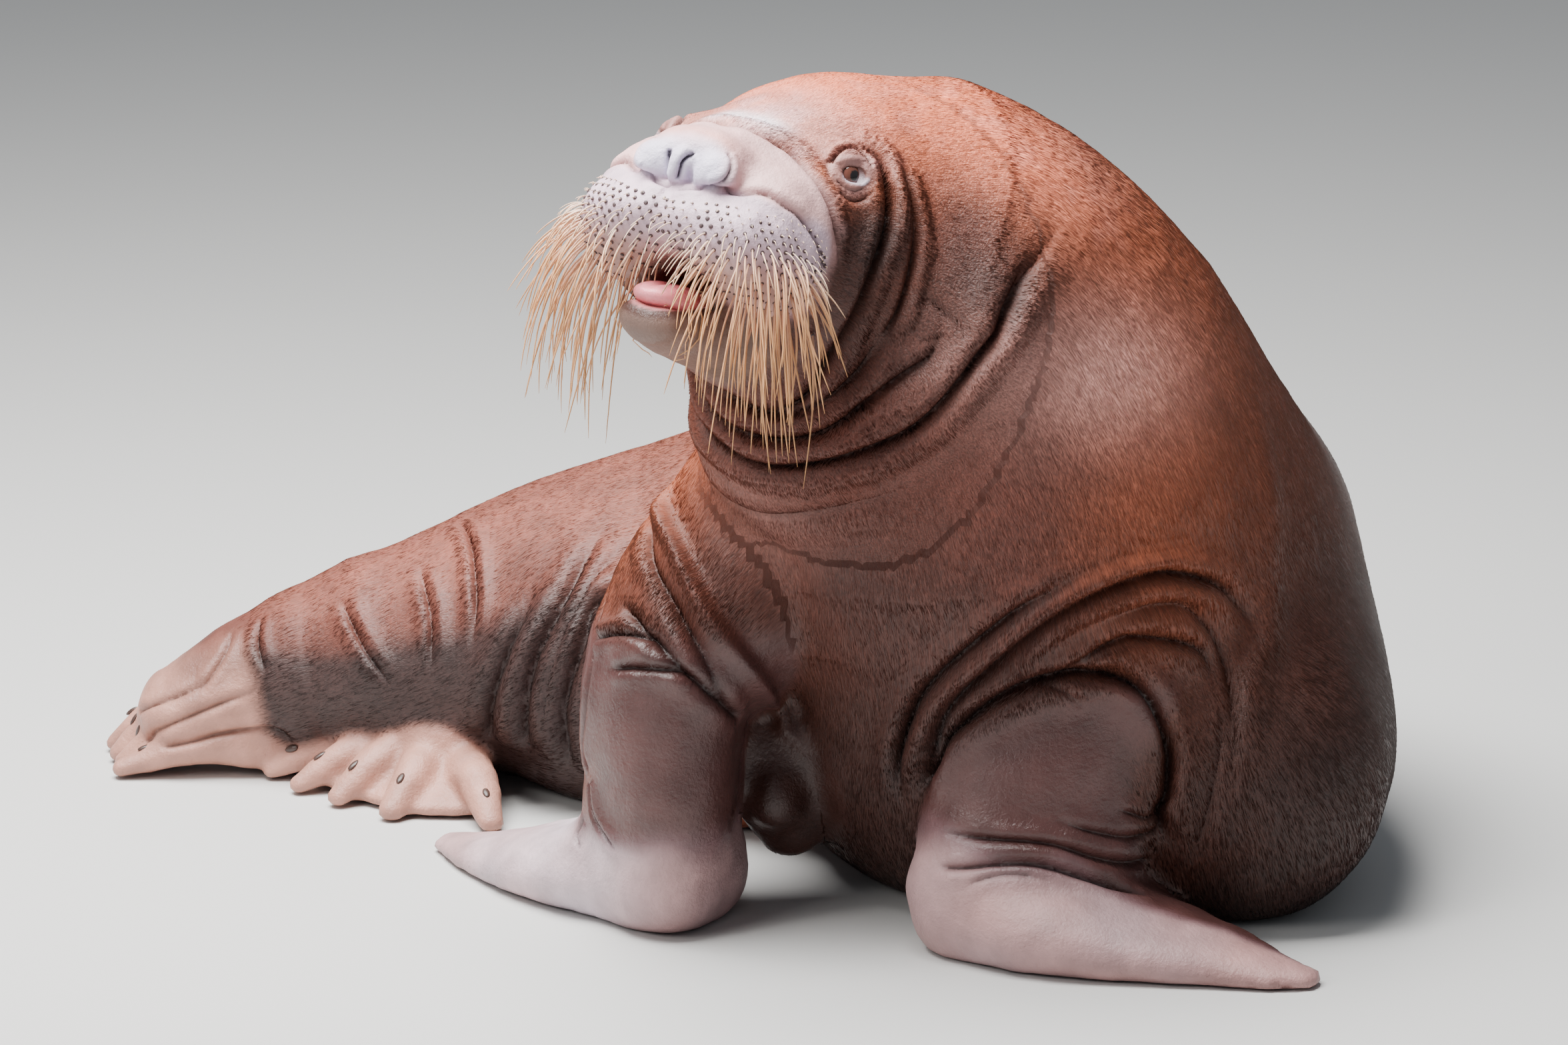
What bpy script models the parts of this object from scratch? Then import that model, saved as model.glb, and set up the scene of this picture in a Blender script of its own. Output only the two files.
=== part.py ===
"""Walrus sitting up on its foreflippers, life size, in metres, +Z up.

The floor is z = 0.  The walrus looks along -Y and a little to -X, and its body curls
back and round to -X, where the hind flippers lie.  Every form is a row of ellipsoids
swept along a smooth curve; rows are blended, wrapped in one closed skin, and parted
from their neighbours by thin gaps.
"""
import math
import random

import bmesh
import bpy
import numpy as np
from mathutils import Matrix, Vector

# Driving sizes, in metres and degrees
GAP = 0.0003                  # left between pieces that touch
FOOT_STEP = 0.65              # share of each step towards the nearest place on a curve
MIDDLE = (-0.069, 0.375, 0.0)  # under the middle of the whole, which becomes the origin
HEAD_CENTRE = (0.0, -0.02, 0.931)
HEAD_TURN = 32.0              # from -Y towards -X
HEAD_LIFT = 19.0              # nose raised
HEAD_ROLL = -5.0              # left side lower
EYE_RADIUS = 0.018
EYE_PLACE = (0.085, 0.132, 0.038)    # forward, left and up in the head
EYE_FACING = (0.40, 0.90, 0.12)
EYE_SLIT = (0.0155, 0.0098)          # half length and half height between the lids

# Lids: fore, up and out from the eyeball's centre, and radius
UPPER_LID = [
    (-0.016, 0.006, 0.000, 0.007),
    (-0.010, 0.018, 0.004, 0.0110),
    (0.001, 0.022, 0.006, 0.0125),
    (0.011, 0.018, 0.004, 0.0110),
    (0.017, 0.006, 0.000, 0.007),
]
LOWER_LID = [
    (-0.016, -0.006, 0.003, 0.005),
    (-0.009, -0.0135, 0.005, 0.006),
    (0.004, -0.0150, 0.005, 0.006),
    (0.015, -0.007, 0.003, 0.005),
]

EAR_PLACE = (0.014, 0.178, 0.052)
EAR_SIZE = (0.006, 0.012, 0.010)
NOSTRIL_PLACE = (0.258, 0.013, 0.000)
NOSTRIL_SIZE = (0.016, 0.0028, 0.018)
TONGUE_PLACE = (0.190, 0.0, -0.160)
TONGUE_SIZE = (0.064, 0.042, 0.020)
ARM_BROAD = 0.145             # half width of the foreleg seen from its broad side
ARM_THIN = 0.095
PALM_HALF_WIDTH = 0.125
TOE_RADIUS = 0.030
TOE_SIZE = ((1.15, 1.10), (0.92, 0.85), (0.55, 0.45))   # share of the radius, root to tip
TOE_ARCH = 0.016              # how far the middle of a toe rises
NAIL_SIZE = (0.010, 0.005, 0.003)    # half length, half width and half thickness
NAIL_SETBACK = 0.032          # from the toe's tip
WHISKER_RADIUS = 0.0017
WHISKER_LENGTH = (0.05, 0.22)  # shortest on the nose side, longest at the outer edge
WHISKER_ROWS = 6
WHISKERS_PER_ROW = 10

# Sizes of the wrapping mesh
BODY_TRIANGLES = 3000
BODY_VOXEL = 0.034
LIMB_VOXEL = 0.018
HIND_VOXEL = 0.013
HEAD_VOXEL = 0.013
CUTTER_DETAIL = 2

# Stations of the spine from the tail to the head: x, y, z, half width, half height
SPINE = [
    (-0.63, 0.71, 0.125, 0.130, 0.120),
    (-0.54, 0.71, 0.140, 0.180, 0.145),
    (-0.42, 0.72, 0.160, 0.240, 0.175),
    (-0.28, 0.73, 0.190, 0.300, 0.200),
    (-0.10, 0.74, 0.220, 0.350, 0.225),
    (0.10, 0.70, 0.260, 0.370, 0.270),
    (0.26, 0.58, 0.290, 0.395, 0.305),
    (0.345, 0.41, 0.325, 0.412, 0.340),
    (0.335, 0.27, 0.360, 0.405, 0.385),
    (0.292, 0.18, 0.485, 0.390, 0.378),
    (0.265, 0.13, 0.600, 0.355, 0.368),
    (0.215, 0.09, 0.725, 0.315, 0.305),
    (0.138, 0.05, 0.838, 0.250, 0.278),
    (0.055, 0.00, 0.893, 0.187, 0.190),
]
THROAT = [(0.03, -0.02, 0.78, 0.14, 0.13), (0.05, -0.01, 0.66, 0.17, 0.17)]
BELLY = [(0.34, 0.26, 0.19, 0.42, 0.25)]
FLANK = [
    (0.58, 0.04, 0.18, 0.19, 0.20),
    (0.60, 0.24, 0.18, 0.19, 0.21),
    (0.52, 0.48, 0.18, 0.20, 0.21),
]
BREAST = [
    (-0.02, 0.09, 0.30, 0.080, 0.060),
    (-0.01, 0.04, 0.22, 0.068, 0.045),
    (0.00, 0.03, 0.15, 0.060, 0.040),
    (0.01, 0.05, 0.09, 0.040, 0.030),
]
NODULE = [(-0.010, -0.008, 0.150, 0.028, 0.032)]
INNER_FLANK = [
    (-0.05, 0.44, 0.16, 0.16, 0.18),
    (-0.22, 0.56, 0.16, 0.16, 0.18),
]

# Joints of the fore limbs, from the shoulder to the tip of the flipper
FORE_JOINTS = {
    "left": {
        "arm": [(0.44, 0.04, 0.44), (0.38, -0.04, 0.32), (0.335, -0.085, 0.24),
                (0.315, -0.11, 0.16), (0.30, -0.135, 0.07)],
        "flipper": [(0.25, -0.13, 0.055), (0.33, -0.165, 0.045), (0.43, -0.195, 0.03),
                    (0.53, -0.24, 0.018), (0.60, -0.28, 0.010), (0.645, -0.30, 0.008)],
        "roll": 0.0,
    },
    "right": {
        "arm": [(0.0, 0.10, 0.46), (-0.10, 0.04, 0.37), (-0.15, 0.01, 0.28),
                (-0.155, 0.0, 0.18), (-0.165, 0.01, 0.07)],
        "flipper": [(-0.14, 0.02, 0.055), (-0.20, 0.07, 0.045), (-0.27, 0.135, 0.03),
                    (-0.34, 0.20, 0.018), (-0.40, 0.255, 0.010), (-0.435, 0.29, 0.008)],
        "roll": 90.0,
    },
}

# Joints of the hind limbs: the shank, then where each toe starts and ends
HIND_JOINTS = {
    "left": {
        "shank": [(-0.56, 0.72, 0.14), (-0.66, 0.71, 0.12), (-0.75, 0.70, 0.10),
                  (-0.82, 0.70, 0.075)],
        "shank_size": [(0.155, 0.140), (0.118, 0.108), (0.092, 0.086), (0.085, 0.060)],
        "toe_roots": [(-0.79, 0.74, 0.070), (-0.80, 0.73, 0.068), (-0.80, 0.71, 0.064),
                      (-0.79, 0.67, 0.046), (-0.70, 0.645, 0.040)],
        "toe_tips": [(-0.900, 0.82, 0.012), (-0.915, 0.760, 0.012), (-0.905, 0.705, 0.012),
                     (-0.895, 0.665, 0.012), (-0.895, 0.625, 0.012)],
    },
    "right": {
        "shank": [(-0.36, 0.65, 0.12), (-0.40, 0.635, 0.115), (-0.44, 0.61, 0.10),
                  (-0.48, 0.58, 0.07)],
        "shank_size": [(0.105, 0.100), (0.105, 0.100), (0.100, 0.086), (0.095, 0.060)],
        "toe_roots": [(-0.50, 0.615, 0.060), (-0.50, 0.595, 0.060), (-0.49, 0.57, 0.058),
                      (-0.46, 0.55, 0.055), (-0.43, 0.53, 0.050)],
        "toe_tips": [(-0.690, 0.620, 0.012), (-0.650, 0.550, 0.012), (-0.595, 0.485, 0.012),
                     (-0.520, 0.420, 0.012), (-0.385, 0.365, 0.012)],
    },
}
TAIL = [(-0.60, 0.79, 0.15), (-0.68, 0.81, 0.125), (-0.745, 0.82, 0.10)]
TAIL_SIZE = [(0.060, 0.045), (0.036, 0.026), (0.014, 0.010)]

# Cuts across the body: a point and the way that the next piece lies
CHEST_CUT = ((0.20, 0.08, 0.66), (0.35, 0.25, -0.90))
WAIST_CUT = ((0.34, 0.36, 0.37), (0.0, 1.0, 0.0))
HIP_CUT = ((-0.16, 0.72, 0.20), (-1.0, 0.0, 0.0))
SHANK_CUT = ((-0.60, 0.71, 0.12), (-1.0, 0.0, 0.0))
FLOOR = ((0.0, 0.0, 0.0), (0.0, 0.0, 1.0))

# Colours from the photo: base colour and roughness
COLOURS = {
    "fur": ((0.300, 0.125, 0.068), 0.60),
    "wet_skin": ((0.105, 0.042, 0.030), 0.38),
    "bare_skin": ((0.330, 0.205, 0.180), 0.50),
    "muzzle": ((0.400, 0.300, 0.290), 0.50),
    "mouth": ((0.450, 0.090, 0.100), 0.35),
    "eye": ((0.090, 0.035, 0.020), 0.12),
}


def head_axes():
    """Columns: forward, left and up of the head, in the world."""
    turn, lift, roll = (math.radians(a) for a in (HEAD_TURN, HEAD_LIFT, HEAD_ROLL))
    forward = np.array([
        -math.sin(turn) * math.cos(lift), -math.cos(turn) * math.cos(lift), math.sin(lift)])
    left = np.cross([0.0, 0.0, 1.0], forward)
    left /= np.linalg.norm(left)
    up = np.cross(forward, left)
    side = left * math.cos(roll) + up * math.sin(roll)
    top = up * math.cos(roll) - left * math.sin(roll)
    return np.stack([forward, side, top], axis=1)


HEAD_AXES = head_axes()
DOWN = np.array([0.0, 0.0, -1.0])


def in_head(forward, left, up):
    """World place of a point given in the head's own axes."""
    return np.array(HEAD_CENTRE) + HEAD_AXES @ np.array([forward, left, up])


NECK_CUT = (tuple(in_head(-0.10, 0, 0.10)), tuple(HEAD_AXES @ np.array([-0.906, 0, -0.423])))


def turned(cut):
    """The same cut, facing the other way."""
    point, facing = cut
    return point, tuple(-value for value in facing)


def through(stations, count):
    """Rows at even steps along a smooth curve through the stations."""
    rows = np.array(stations, float)
    last = len(rows) - 1
    if last == 0:
        return rows
    padded = np.vstack([2 * rows[0] - rows[1], rows, 2 * rows[-1] - rows[-2]])
    place = np.linspace(0, last, count * 8)
    k = np.minimum(place.astype(int), last - 1)
    f = (place - k)[:, None]
    a, b, c, d = padded[k], padded[k + 1], padded[k + 2], padded[k + 3]
    curve = 0.5 * (2 * b + (c - a) * f + (2 * a - 5 * b + 4 * c - d) * f ** 2
                   + (3 * b - a - 3 * c + d) * f ** 3)
    run = np.r_[0, np.cumsum(np.linalg.norm(np.diff(curve[:, :3], axis=0), axis=1))]
    even = np.linspace(0, run[-1], count)
    return np.stack([np.interp(even, run, column) for column in curve.T], axis=1)


class Sweep:
    """Ellipsoids in a row: each station is x, y, z, half width and half height."""

    def __init__(self, stations, blend, count=12, up=(0, 0, 1), roll=0.0, depth=None,
                 in_head_axes=False):
        rows = through(stations, count)
        centre = rows[:, :3]
        along = np.gradient(centre, axis=0) if len(rows) > 1 else np.array([[1.0, 0, 0]])
        along = along / np.linalg.norm(along, axis=1)[:, None]
        top = np.array(up, float)
        tops = []
        for direction in along:
            top = top - direction * (top @ direction)
            top = top / np.linalg.norm(top)
            tops.append(top)
        tops = np.array(tops)
        sides = np.cross(tops, along)
        turn = math.radians(roll)
        sides, tops = (sides * math.cos(turn) + tops * math.sin(turn),
                       tops * math.cos(turn) - sides * math.sin(turn))
        frame = np.stack([along, sides, tops], axis=1)
        if in_head_axes:
            centre = np.array(HEAD_CENTRE) + centre @ HEAD_AXES.T
            frame = frame @ HEAD_AXES.T
        length = np.minimum(rows[:, 3], rows[:, 4]) if depth is None else np.full(len(rows), depth)
        self.centre = centre
        self.frame = frame
        self.half = np.stack([length, rows[:, 3], rows[:, 4]], axis=1)
        self.blend = blend
        self.step = np.linalg.norm(np.diff(centre, axis=0), axis=1).mean() if len(rows) > 1 else 1.0
        self.middle = centre.mean(axis=0)
        self.reach = (np.linalg.norm(centre - self.middle, axis=1) + self.half.max(axis=1)).max()

    def measure(self, points):
        """Distance to the sweep and outward normal, at each point."""
        best = np.full(len(points), np.inf)
        index = np.zeros(len(points), int)
        for i, (centre, frame, half) in enumerate(zip(self.centre, self.frame, self.half)):
            q = ((points - centre) @ frame.T) / half
            k0 = np.sqrt((q * q).sum(axis=1))
            k1 = np.sqrt(((q / half) ** 2).sum(axis=1)) + 1e-9
            value = k0 * (k0 - 1) / k1
            nearer = value < best
            best[nearer] = value[nearer]
            index[nearer] = i
        last = len(self.centre) - 1
        place = index.astype(float)
        for _ in range(8):
            low = np.clip(place.astype(int), 0, max(last - 1, 0))
            high = np.minimum(low + 1, last)
            share = (place - low)[:, None]
            centre = self.centre[low] * (1 - share) + self.centre[high] * share
            along = self.frame[low, 0] * (1 - share) + self.frame[high, 0] * share
            slide = ((points - centre) * along).sum(axis=1) / self.step
            place = np.clip(place + FOOT_STEP * slide, 0, last)
        low = np.clip(place.astype(int), 0, max(last - 1, 0))
        high = np.minimum(low + 1, last)
        share = (place - low)[:, None]
        centre = self.centre[low] * (1 - share) + self.centre[high] * share
        half = self.half[low] * (1 - share) + self.half[high] * share
        frame = self.frame[low] * (1 - share[..., None]) + self.frame[high] * share[..., None]
        q = np.einsum("nij,nj->ni", frame, points - centre) / half
        k0 = np.sqrt((q * q).sum(axis=1))
        slope = np.einsum("nij,ni->nj", frame, q / half)
        k1 = np.linalg.norm(slope, axis=1) + 1e-9
        return k0 * (k0 - 1) / k1, slope / k1[:, None]


def measure_all(sweeps, points):
    """Distance to the blended sweeps and outward normal, at each point."""
    value = np.full(len(points), 9.0)
    normal = np.zeros((len(points), 3))
    for sweep in sweeps:
        margin = sweep.reach + sweep.blend + 0.05
        near = np.linalg.norm(points - sweep.middle, axis=1) < margin
        if not near.any():
            continue
        new, new_normal = sweep.measure(points[near])
        old, old_normal = value[near], normal[near]
        overlap = np.maximum(sweep.blend - np.abs(old - new), 0) / sweep.blend
        share = np.where(new < old, 1 - overlap / 2, overlap / 2)[:, None]
        value[near] = np.minimum(old, new) - overlap ** 2 * sweep.blend / 4
        normal[near] = old_normal * (1 - share) + new_normal * share
    return value, normal


def settle(sweeps, points, rounds=4, most=0.02):
    """Move the points onto the blended surface."""
    for _ in range(rounds):
        value, normal = measure_all(sweeps, points)
        size = (normal ** 2).sum(axis=1) + 1e-6
        step = normal * (value / size)[:, None]
        length = np.linalg.norm(step, axis=1)[:, None]
        points = points - step * np.minimum(1, most / (length + 1e-12))
    return points


def spine_sweep():
    return Sweep(SPINE, 0.06, 26)


def trunk_sweeps():
    return [
        spine_sweep(),
        Sweep(THROAT, 0.08, 3),
        Sweep(BELLY, 0.10, depth=0.36),
        Sweep(FLANK, 0.10, 5),
        Sweep(INNER_FLANK, 0.08, 3),
        Sweep(BREAST, 0.03, 6, up=(0, -1, 0)),
        Sweep(NODULE, 0.03),
    ]


def fore_sweeps(side):
    """Arm and flipper of one side, with the same sizes on both."""
    joints = FORE_JOINTS[side]
    arm_size = [(1.15, 1.75), (1.05, 1.45), (0.98, 1.10), (0.96, 1.0), (1.0, 0.95)]
    arm = [(*p, ARM_BROAD * w, ARM_THIN * h) for p, (w, h) in zip(joints["arm"], arm_size)]
    palm_size = [(0.80, 0.090), (0.98, 0.072), (0.92, 0.054), (0.68, 0.036), (0.42, 0.022),
                 (0.22, 0.013)]
    flipper = [(*p, PALM_HALF_WIDTH * w, h) for p, (w, h) in zip(joints["flipper"], palm_size)]
    return [
        Sweep(arm, 0.03, 10, up=(0, -1, 0), roll=joints["roll"]),
        Sweep(flipper, 0.03, 12),
    ]


def hind_sweeps(side):
    """Shank, five toes and the web between them."""
    joints = HIND_JOINTS[side]
    shank = [(*p, *size) for p, size in zip(joints["shank"], joints["shank_size"])]
    sweeps = [Sweep(shank, 0.03, 8)]
    roots = [np.array(p) for p in joints["toe_roots"]]
    tips = [np.array(p) for p in joints["toe_tips"]]
    lift = np.array([0, 0, TOE_ARCH])
    for root, tip in zip(roots, tips):
        middle = (root + tip) / 2 + lift
        toe = [(*point, TOE_RADIUS * wide, TOE_RADIUS * high)
               for point, (wide, high) in zip((root, middle, tip), TOE_SIZE)]
        sweeps.append(Sweep(toe, 0.012, 7))
    for k in range(4):
        root = (roots[k] + roots[k + 1]) / 2
        tip = (tips[k] + tips[k + 1]) / 2 * 0.75 + root * 0.25
        spread = np.linalg.norm(tips[k + 1] - tips[k]) * 0.40
        web = [(*root, 0.03, 0.03), (*((root + tip) / 2), spread * 0.8, 0.016),
               (*(tip * (1, 1, 0) + (0, 0, 0.012)), spread, 0.010)]
        sweeps.append(Sweep(web, 0.015, 5))
    return sweeps


def eye_frame(side):
    """Centre of the eyeball, and rows that point to the fore, up and out of the eye."""
    facing = np.array(EYE_FACING) * (1, side, 1)
    facing /= np.linalg.norm(facing)
    fore = np.array([1.0, 0, 0]) - facing * facing[0]
    fore /= np.linalg.norm(fore)
    return np.array(EYE_PLACE) * (1, side, 1), np.stack([fore, np.cross(fore, facing) * side, facing])


def lid_sweeps(side):
    """Upper and lower lid, each an arc round the eyeball."""
    centre, frame = eye_frame(side)
    sweeps = []
    for lid in (UPPER_LID, LOWER_LID):
        rows = np.array(lid)
        arc = np.hstack([centre + rows[:, :3] @ frame, rows[:, 3:], rows[:, 3:]])
        sweeps.append(Sweep(arc, 0.007, 9, in_head_axes=True))
    return sweeps


def head_sweeps():
    """Skull, snout, cheeks, brows, lids and nose, without the whisker pads and the jaw."""
    sweeps = [
        Sweep([(-0.12, 0.01, -0.004, 0.172, 0.160), (-0.05, 0, -0.006, 0.166, 0.148),
               (0.05, 0, -0.010, 0.142, 0.108)], 0.05, 5,
              in_head_axes=True),
        Sweep([(0.07, 0, 0.025, 0.090, 0.060), (0.14, 0, 0.018, 0.075, 0.050),
               (0.195, 0, 0.008, 0.066, 0.042)], 0.04, 5, in_head_axes=True),
    ]
    for side in (1, -1):
        sweeps += [
            Sweep([(0.10, 0.080 * side, -0.030, 0.068, 0.070),
                   (0.16, 0.078 * side, -0.030, 0.066, 0.060)], 0.025, 3, in_head_axes=True),
            Sweep([(0.03, 0.10 * side, -0.07, 0.085, 0.12),
                   (0.09, 0.10 * side, -0.085, 0.070, 0.09)], 0.04, 3, in_head_axes=True),
            Sweep([(0.225, 0.042 * side, -0.001, 0.029, 0.026)], 0.009, depth=0.033,
                  in_head_axes=True),
            Sweep([(0.060, 0.100 * side, 0.030, 0.045, 0.042)], 0.03, in_head_axes=True),
        ]
        sweeps += lid_sweeps(side)
    sweeps.append(Sweep([(0.205, 0, 0.022, 0.058, 0.028)], 0.02, depth=0.040, in_head_axes=True))
    sweeps.append(Sweep([(0.232, 0, 0.002, 0.013, 0.027)], 0.006, depth=0.024, in_head_axes=True))
    return sweeps


PAD_MIDDLE = np.array([0.165, 0.085, -0.068])


def pad_sweeps(side):
    """Whisker pad of one side; side is 1 for left and -1 for right."""
    outer = (0.150, 0.104 * side, -0.082, 0.062, 0.068)
    middle = (0.192, 0.072 * side, -0.076, 0.076, 0.060)
    inner = (0.208, 0.026 * side, -0.066, 0.066, 0.044)
    return [Sweep([outer, middle, inner], 0.014, 5, depth=0.054, in_head_axes=True)]


def jaw_sweeps():
    return [Sweep([(0.0, 0, -0.14, 0.130, 0.105), (0.10, 0, -0.162, 0.095, 0.078),
                   (0.17, 0, -0.184, 0.066, 0.050), (0.225, 0, -0.192, 0.044, 0.030)],
                  0.03, 8, in_head_axes=True)]


def mouth_sweeps():
    """The hollow of the open mouth."""
    return [Sweep([(0.12, 0, -0.142, 0.040, 0.018), (0.21, 0, -0.146, 0.052, 0.026),
                   (0.32, 0, -0.146, 0.062, 0.034)], 0.01, 6, in_head_axes=True)]


def new_object(name, mesh):
    obj = bpy.data.objects.new(name, mesh)
    bpy.context.scene.collection.objects.link(obj)
    return obj


def drop(obj):
    mesh = obj.data
    bpy.data.objects.remove(obj)
    bpy.data.meshes.remove(mesh)


def apply_modifiers(obj):
    """Turn what the modifiers make into the object's own mesh."""
    bpy.context.view_layer.update()
    made = bpy.data.meshes.new_from_object(obj.evaluated_get(bpy.context.evaluated_depsgraph_get()))
    old = obj.data
    obj.modifiers.clear()
    obj.data = made
    made.name = obj.name
    bpy.data.meshes.remove(old)


def read_points(mesh):
    flat = np.empty(len(mesh.vertices) * 3)
    mesh.vertices.foreach_get("co", flat)
    return flat.reshape(-1, 3)


def write_points(mesh, points):
    mesh.vertices.foreach_set("co", points.ravel())
    mesh.update()


def wrap(name, seeds, voxel, triangles, field=None, fine=()):
    """One closed skin over the seed sweeps, settled on the whole field of sweeps.

    `fine` holds places and radii where the skin keeps its smallest triangles.
    """
    sweeps = seeds if field is None else field
    form = bmesh.new()
    for sweep in seeds:
        for centre, frame, half in zip(sweep.centre, sweep.frame, sweep.half):
            turn = Matrix(frame.T.tolist()).to_4x4()
            place = Matrix.Translation(centre) @ turn @ Matrix.Diagonal((*half, 1))
            bmesh.ops.create_icosphere(form, subdivisions=CUTTER_DETAIL, radius=1.02, matrix=place)
    mesh = bpy.data.meshes.new(name)
    form.to_mesh(mesh)
    form.free()
    obj = new_object(name, mesh)
    skin = obj.modifiers.new("Skin", "REMESH")
    skin.mode = "VOXEL"
    skin.voxel_size = voxel
    apply_modifiers(obj)
    for _ in range(2):
        write_points(obj.data, settle(sweeps, read_points(obj.data), 2))
        ease = obj.modifiers.new("Ease", "SMOOTH")
        ease.factor = 0.5
        ease.iterations = 2
        apply_modifiers(obj)
    write_points(obj.data, settle(sweeps, read_points(obj.data), 3))
    corners = sum(len(face.vertices) - 2 for face in obj.data.polygons)
    thin = obj.modifiers.new("Thin", "DECIMATE")
    if fine:
        kept = obj.vertex_groups.new(name="Fine")
        points = read_points(obj.data)
        near = np.zeros(len(points), bool)
        for place, radius in fine:
            near |= np.linalg.norm(points - place, axis=1) < radius
        kept.add(np.flatnonzero(near).tolist(), 1.0, "REPLACE")
        thin.vertex_group = kept.name
        thin.vertex_group_factor = 2.0
        thin.invert_vertex_group = True
    thin.ratio = min(1.0, triangles / corners)
    thin.use_collapse_triangulate = True
    apply_modifiers(obj)
    return obj


def swell(obj, amount):
    """A copy of the object, grown along its normals, to cut with."""
    copy = new_object(obj.name + "_cutter", obj.data.copy())
    form = bmesh.new()
    form.from_mesh(copy.data)
    form.normal_update()
    for vertex in form.verts:
        vertex.co += vertex.normal * amount
    form.to_mesh(copy.data)
    form.free()
    copy.hide_render = True
    copy.display_type = "WIRE"
    return copy


def subtract(obj, cutter, remove=True):
    cut = obj.modifiers.new("Cut", "BOOLEAN")
    cut.operation = "DIFFERENCE"
    cut.solver = "EXACT"
    cut.object = cutter
    apply_modifiers(obj)
    if remove:
        drop(cutter)


def part_from(obj, neighbour):
    """Cut the object clear of a neighbour that keeps its full form."""
    subtract(obj, swell(neighbour, GAP * 1.5))


def keep_side(obj, point, normal):
    """Keep the part of the object on the side that the normal points to."""
    form = bmesh.new()
    form.from_mesh(obj.data)
    bmesh.ops.bisect_plane(
        form, geom=form.verts[:] + form.edges[:] + form.faces[:], dist=1e-6,
        plane_co=Vector(point), plane_no=Vector(normal), clear_inner=True)
    rim = [edge for edge in form.edges if edge.is_boundary]
    bmesh.ops.holes_fill(form, edges=rim)
    bmesh.ops.triangulate(form, faces=form.faces[:])
    form.to_mesh(obj.data)
    form.free()


def copy_side(obj, name, point, normal):
    """A new object: the part of this one on one side of a plane, half a gap back."""
    copy = new_object(name, obj.data.copy())
    n = Vector(normal).normalized()
    keep_side(copy, Vector(point) + n * GAP, n)
    return copy


def clean(obj):
    """Keep the largest closed surface, in triangles that face out."""
    form = bmesh.new()
    form.from_mesh(obj.data)
    bmesh.ops.remove_doubles(form, verts=form.verts, dist=2e-6)
    left = set(form.verts)
    shells = []
    while left:
        shell, stack = [], [left.pop()]
        while stack:
            vertex = stack.pop()
            shell.append(vertex)
            for edge in vertex.link_edges:
                other = edge.other_vert(vertex)
                if other in left:
                    left.remove(other)
                    stack.append(other)
        shells.append(shell)
    shells.sort(key=len, reverse=True)
    bmesh.ops.delete(form, geom=[v for shell in shells[1:] for v in shell], context="VERTS")
    bmesh.ops.triangulate(form, faces=form.faces[:])
    bmesh.ops.recalc_face_normals(form, faces=form.faces[:])
    form.to_mesh(obj.data)
    form.free()


def dress(obj, colour, smooth=True):
    """Give the object its own material."""
    rgb, roughness = COLOURS[colour]
    material = bpy.data.materials.new(obj.name)
    material.use_nodes = True
    shader = material.node_tree.nodes["Principled BSDF"]
    shader.inputs["Base Color"].default_value = (*rgb, 1.0)
    shader.inputs["Roughness"].default_value = roughness
    obj.data.materials.clear()
    obj.data.materials.append(material)
    if smooth:
        obj.data.shade_smooth()
        obj.data.set_sharp_from_angle(angle=math.radians(40))


def lens(name, centre, half, frame=None, detail=CUTTER_DETAIL):
    """A small ellipsoid, to cut an opening with or to stand as a small part."""
    form = bmesh.new()
    turn = Matrix((HEAD_AXES if frame is None else frame).tolist()).to_4x4()
    place = Matrix.Translation(Vector(centre)) @ turn @ Matrix.Diagonal((*half, 1))
    bmesh.ops.create_icosphere(form, subdivisions=detail, radius=1.0, matrix=place)
    mesh = bpy.data.meshes.new(name)
    form.to_mesh(mesh)
    form.free()
    return new_object(name, mesh)


def join_all(obj, pieces):
    """Join the pieces to an object in one union."""
    bunch = bpy.data.collections.new(obj.name + "_pieces")
    bpy.context.scene.collection.children.link(bunch)
    for piece in pieces:
        bunch.objects.link(piece)
        bpy.context.scene.collection.objects.unlink(piece)
    union = obj.modifiers.new("Join", "BOOLEAN")
    union.operation = "UNION"
    union.solver = "MANIFOLD"
    union.operand_type = "COLLECTION"
    union.collection = bunch
    apply_modifiers(obj)
    for piece in pieces:
        drop(piece)
    bpy.data.collections.remove(bunch)


def make_trunk():
    """Neck, chest, torso and hips, cut from one body."""
    body = wrap("body", trunk_sweeps() + head_sweeps()[:1], BODY_VOXEL, BODY_TRIANGLES,
                trunk_sweeps() + head_sweeps())
    keep_side(body, *FLOOR)
    below_head = copy_side(body, "below_head", *NECK_CUT)
    neck = copy_side(below_head, "neck", *turned(CHEST_CUT))
    lower = copy_side(below_head, "lower", *CHEST_CUT)
    chest = copy_side(lower, "chest", *turned(WAIST_CUT))
    rear = copy_side(lower, "rear", *WAIST_CUT)
    torso = copy_side(rear, "torso", *turned(HIP_CUT))
    seat = copy_side(rear, "seat", *HIP_CUT)
    hips = copy_side(seat, "hips", *turned(SHANK_CUT))
    for spare in (body, below_head, lower, rear, seat):
        drop(spare)
    return neck, chest, torso, hips


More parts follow.
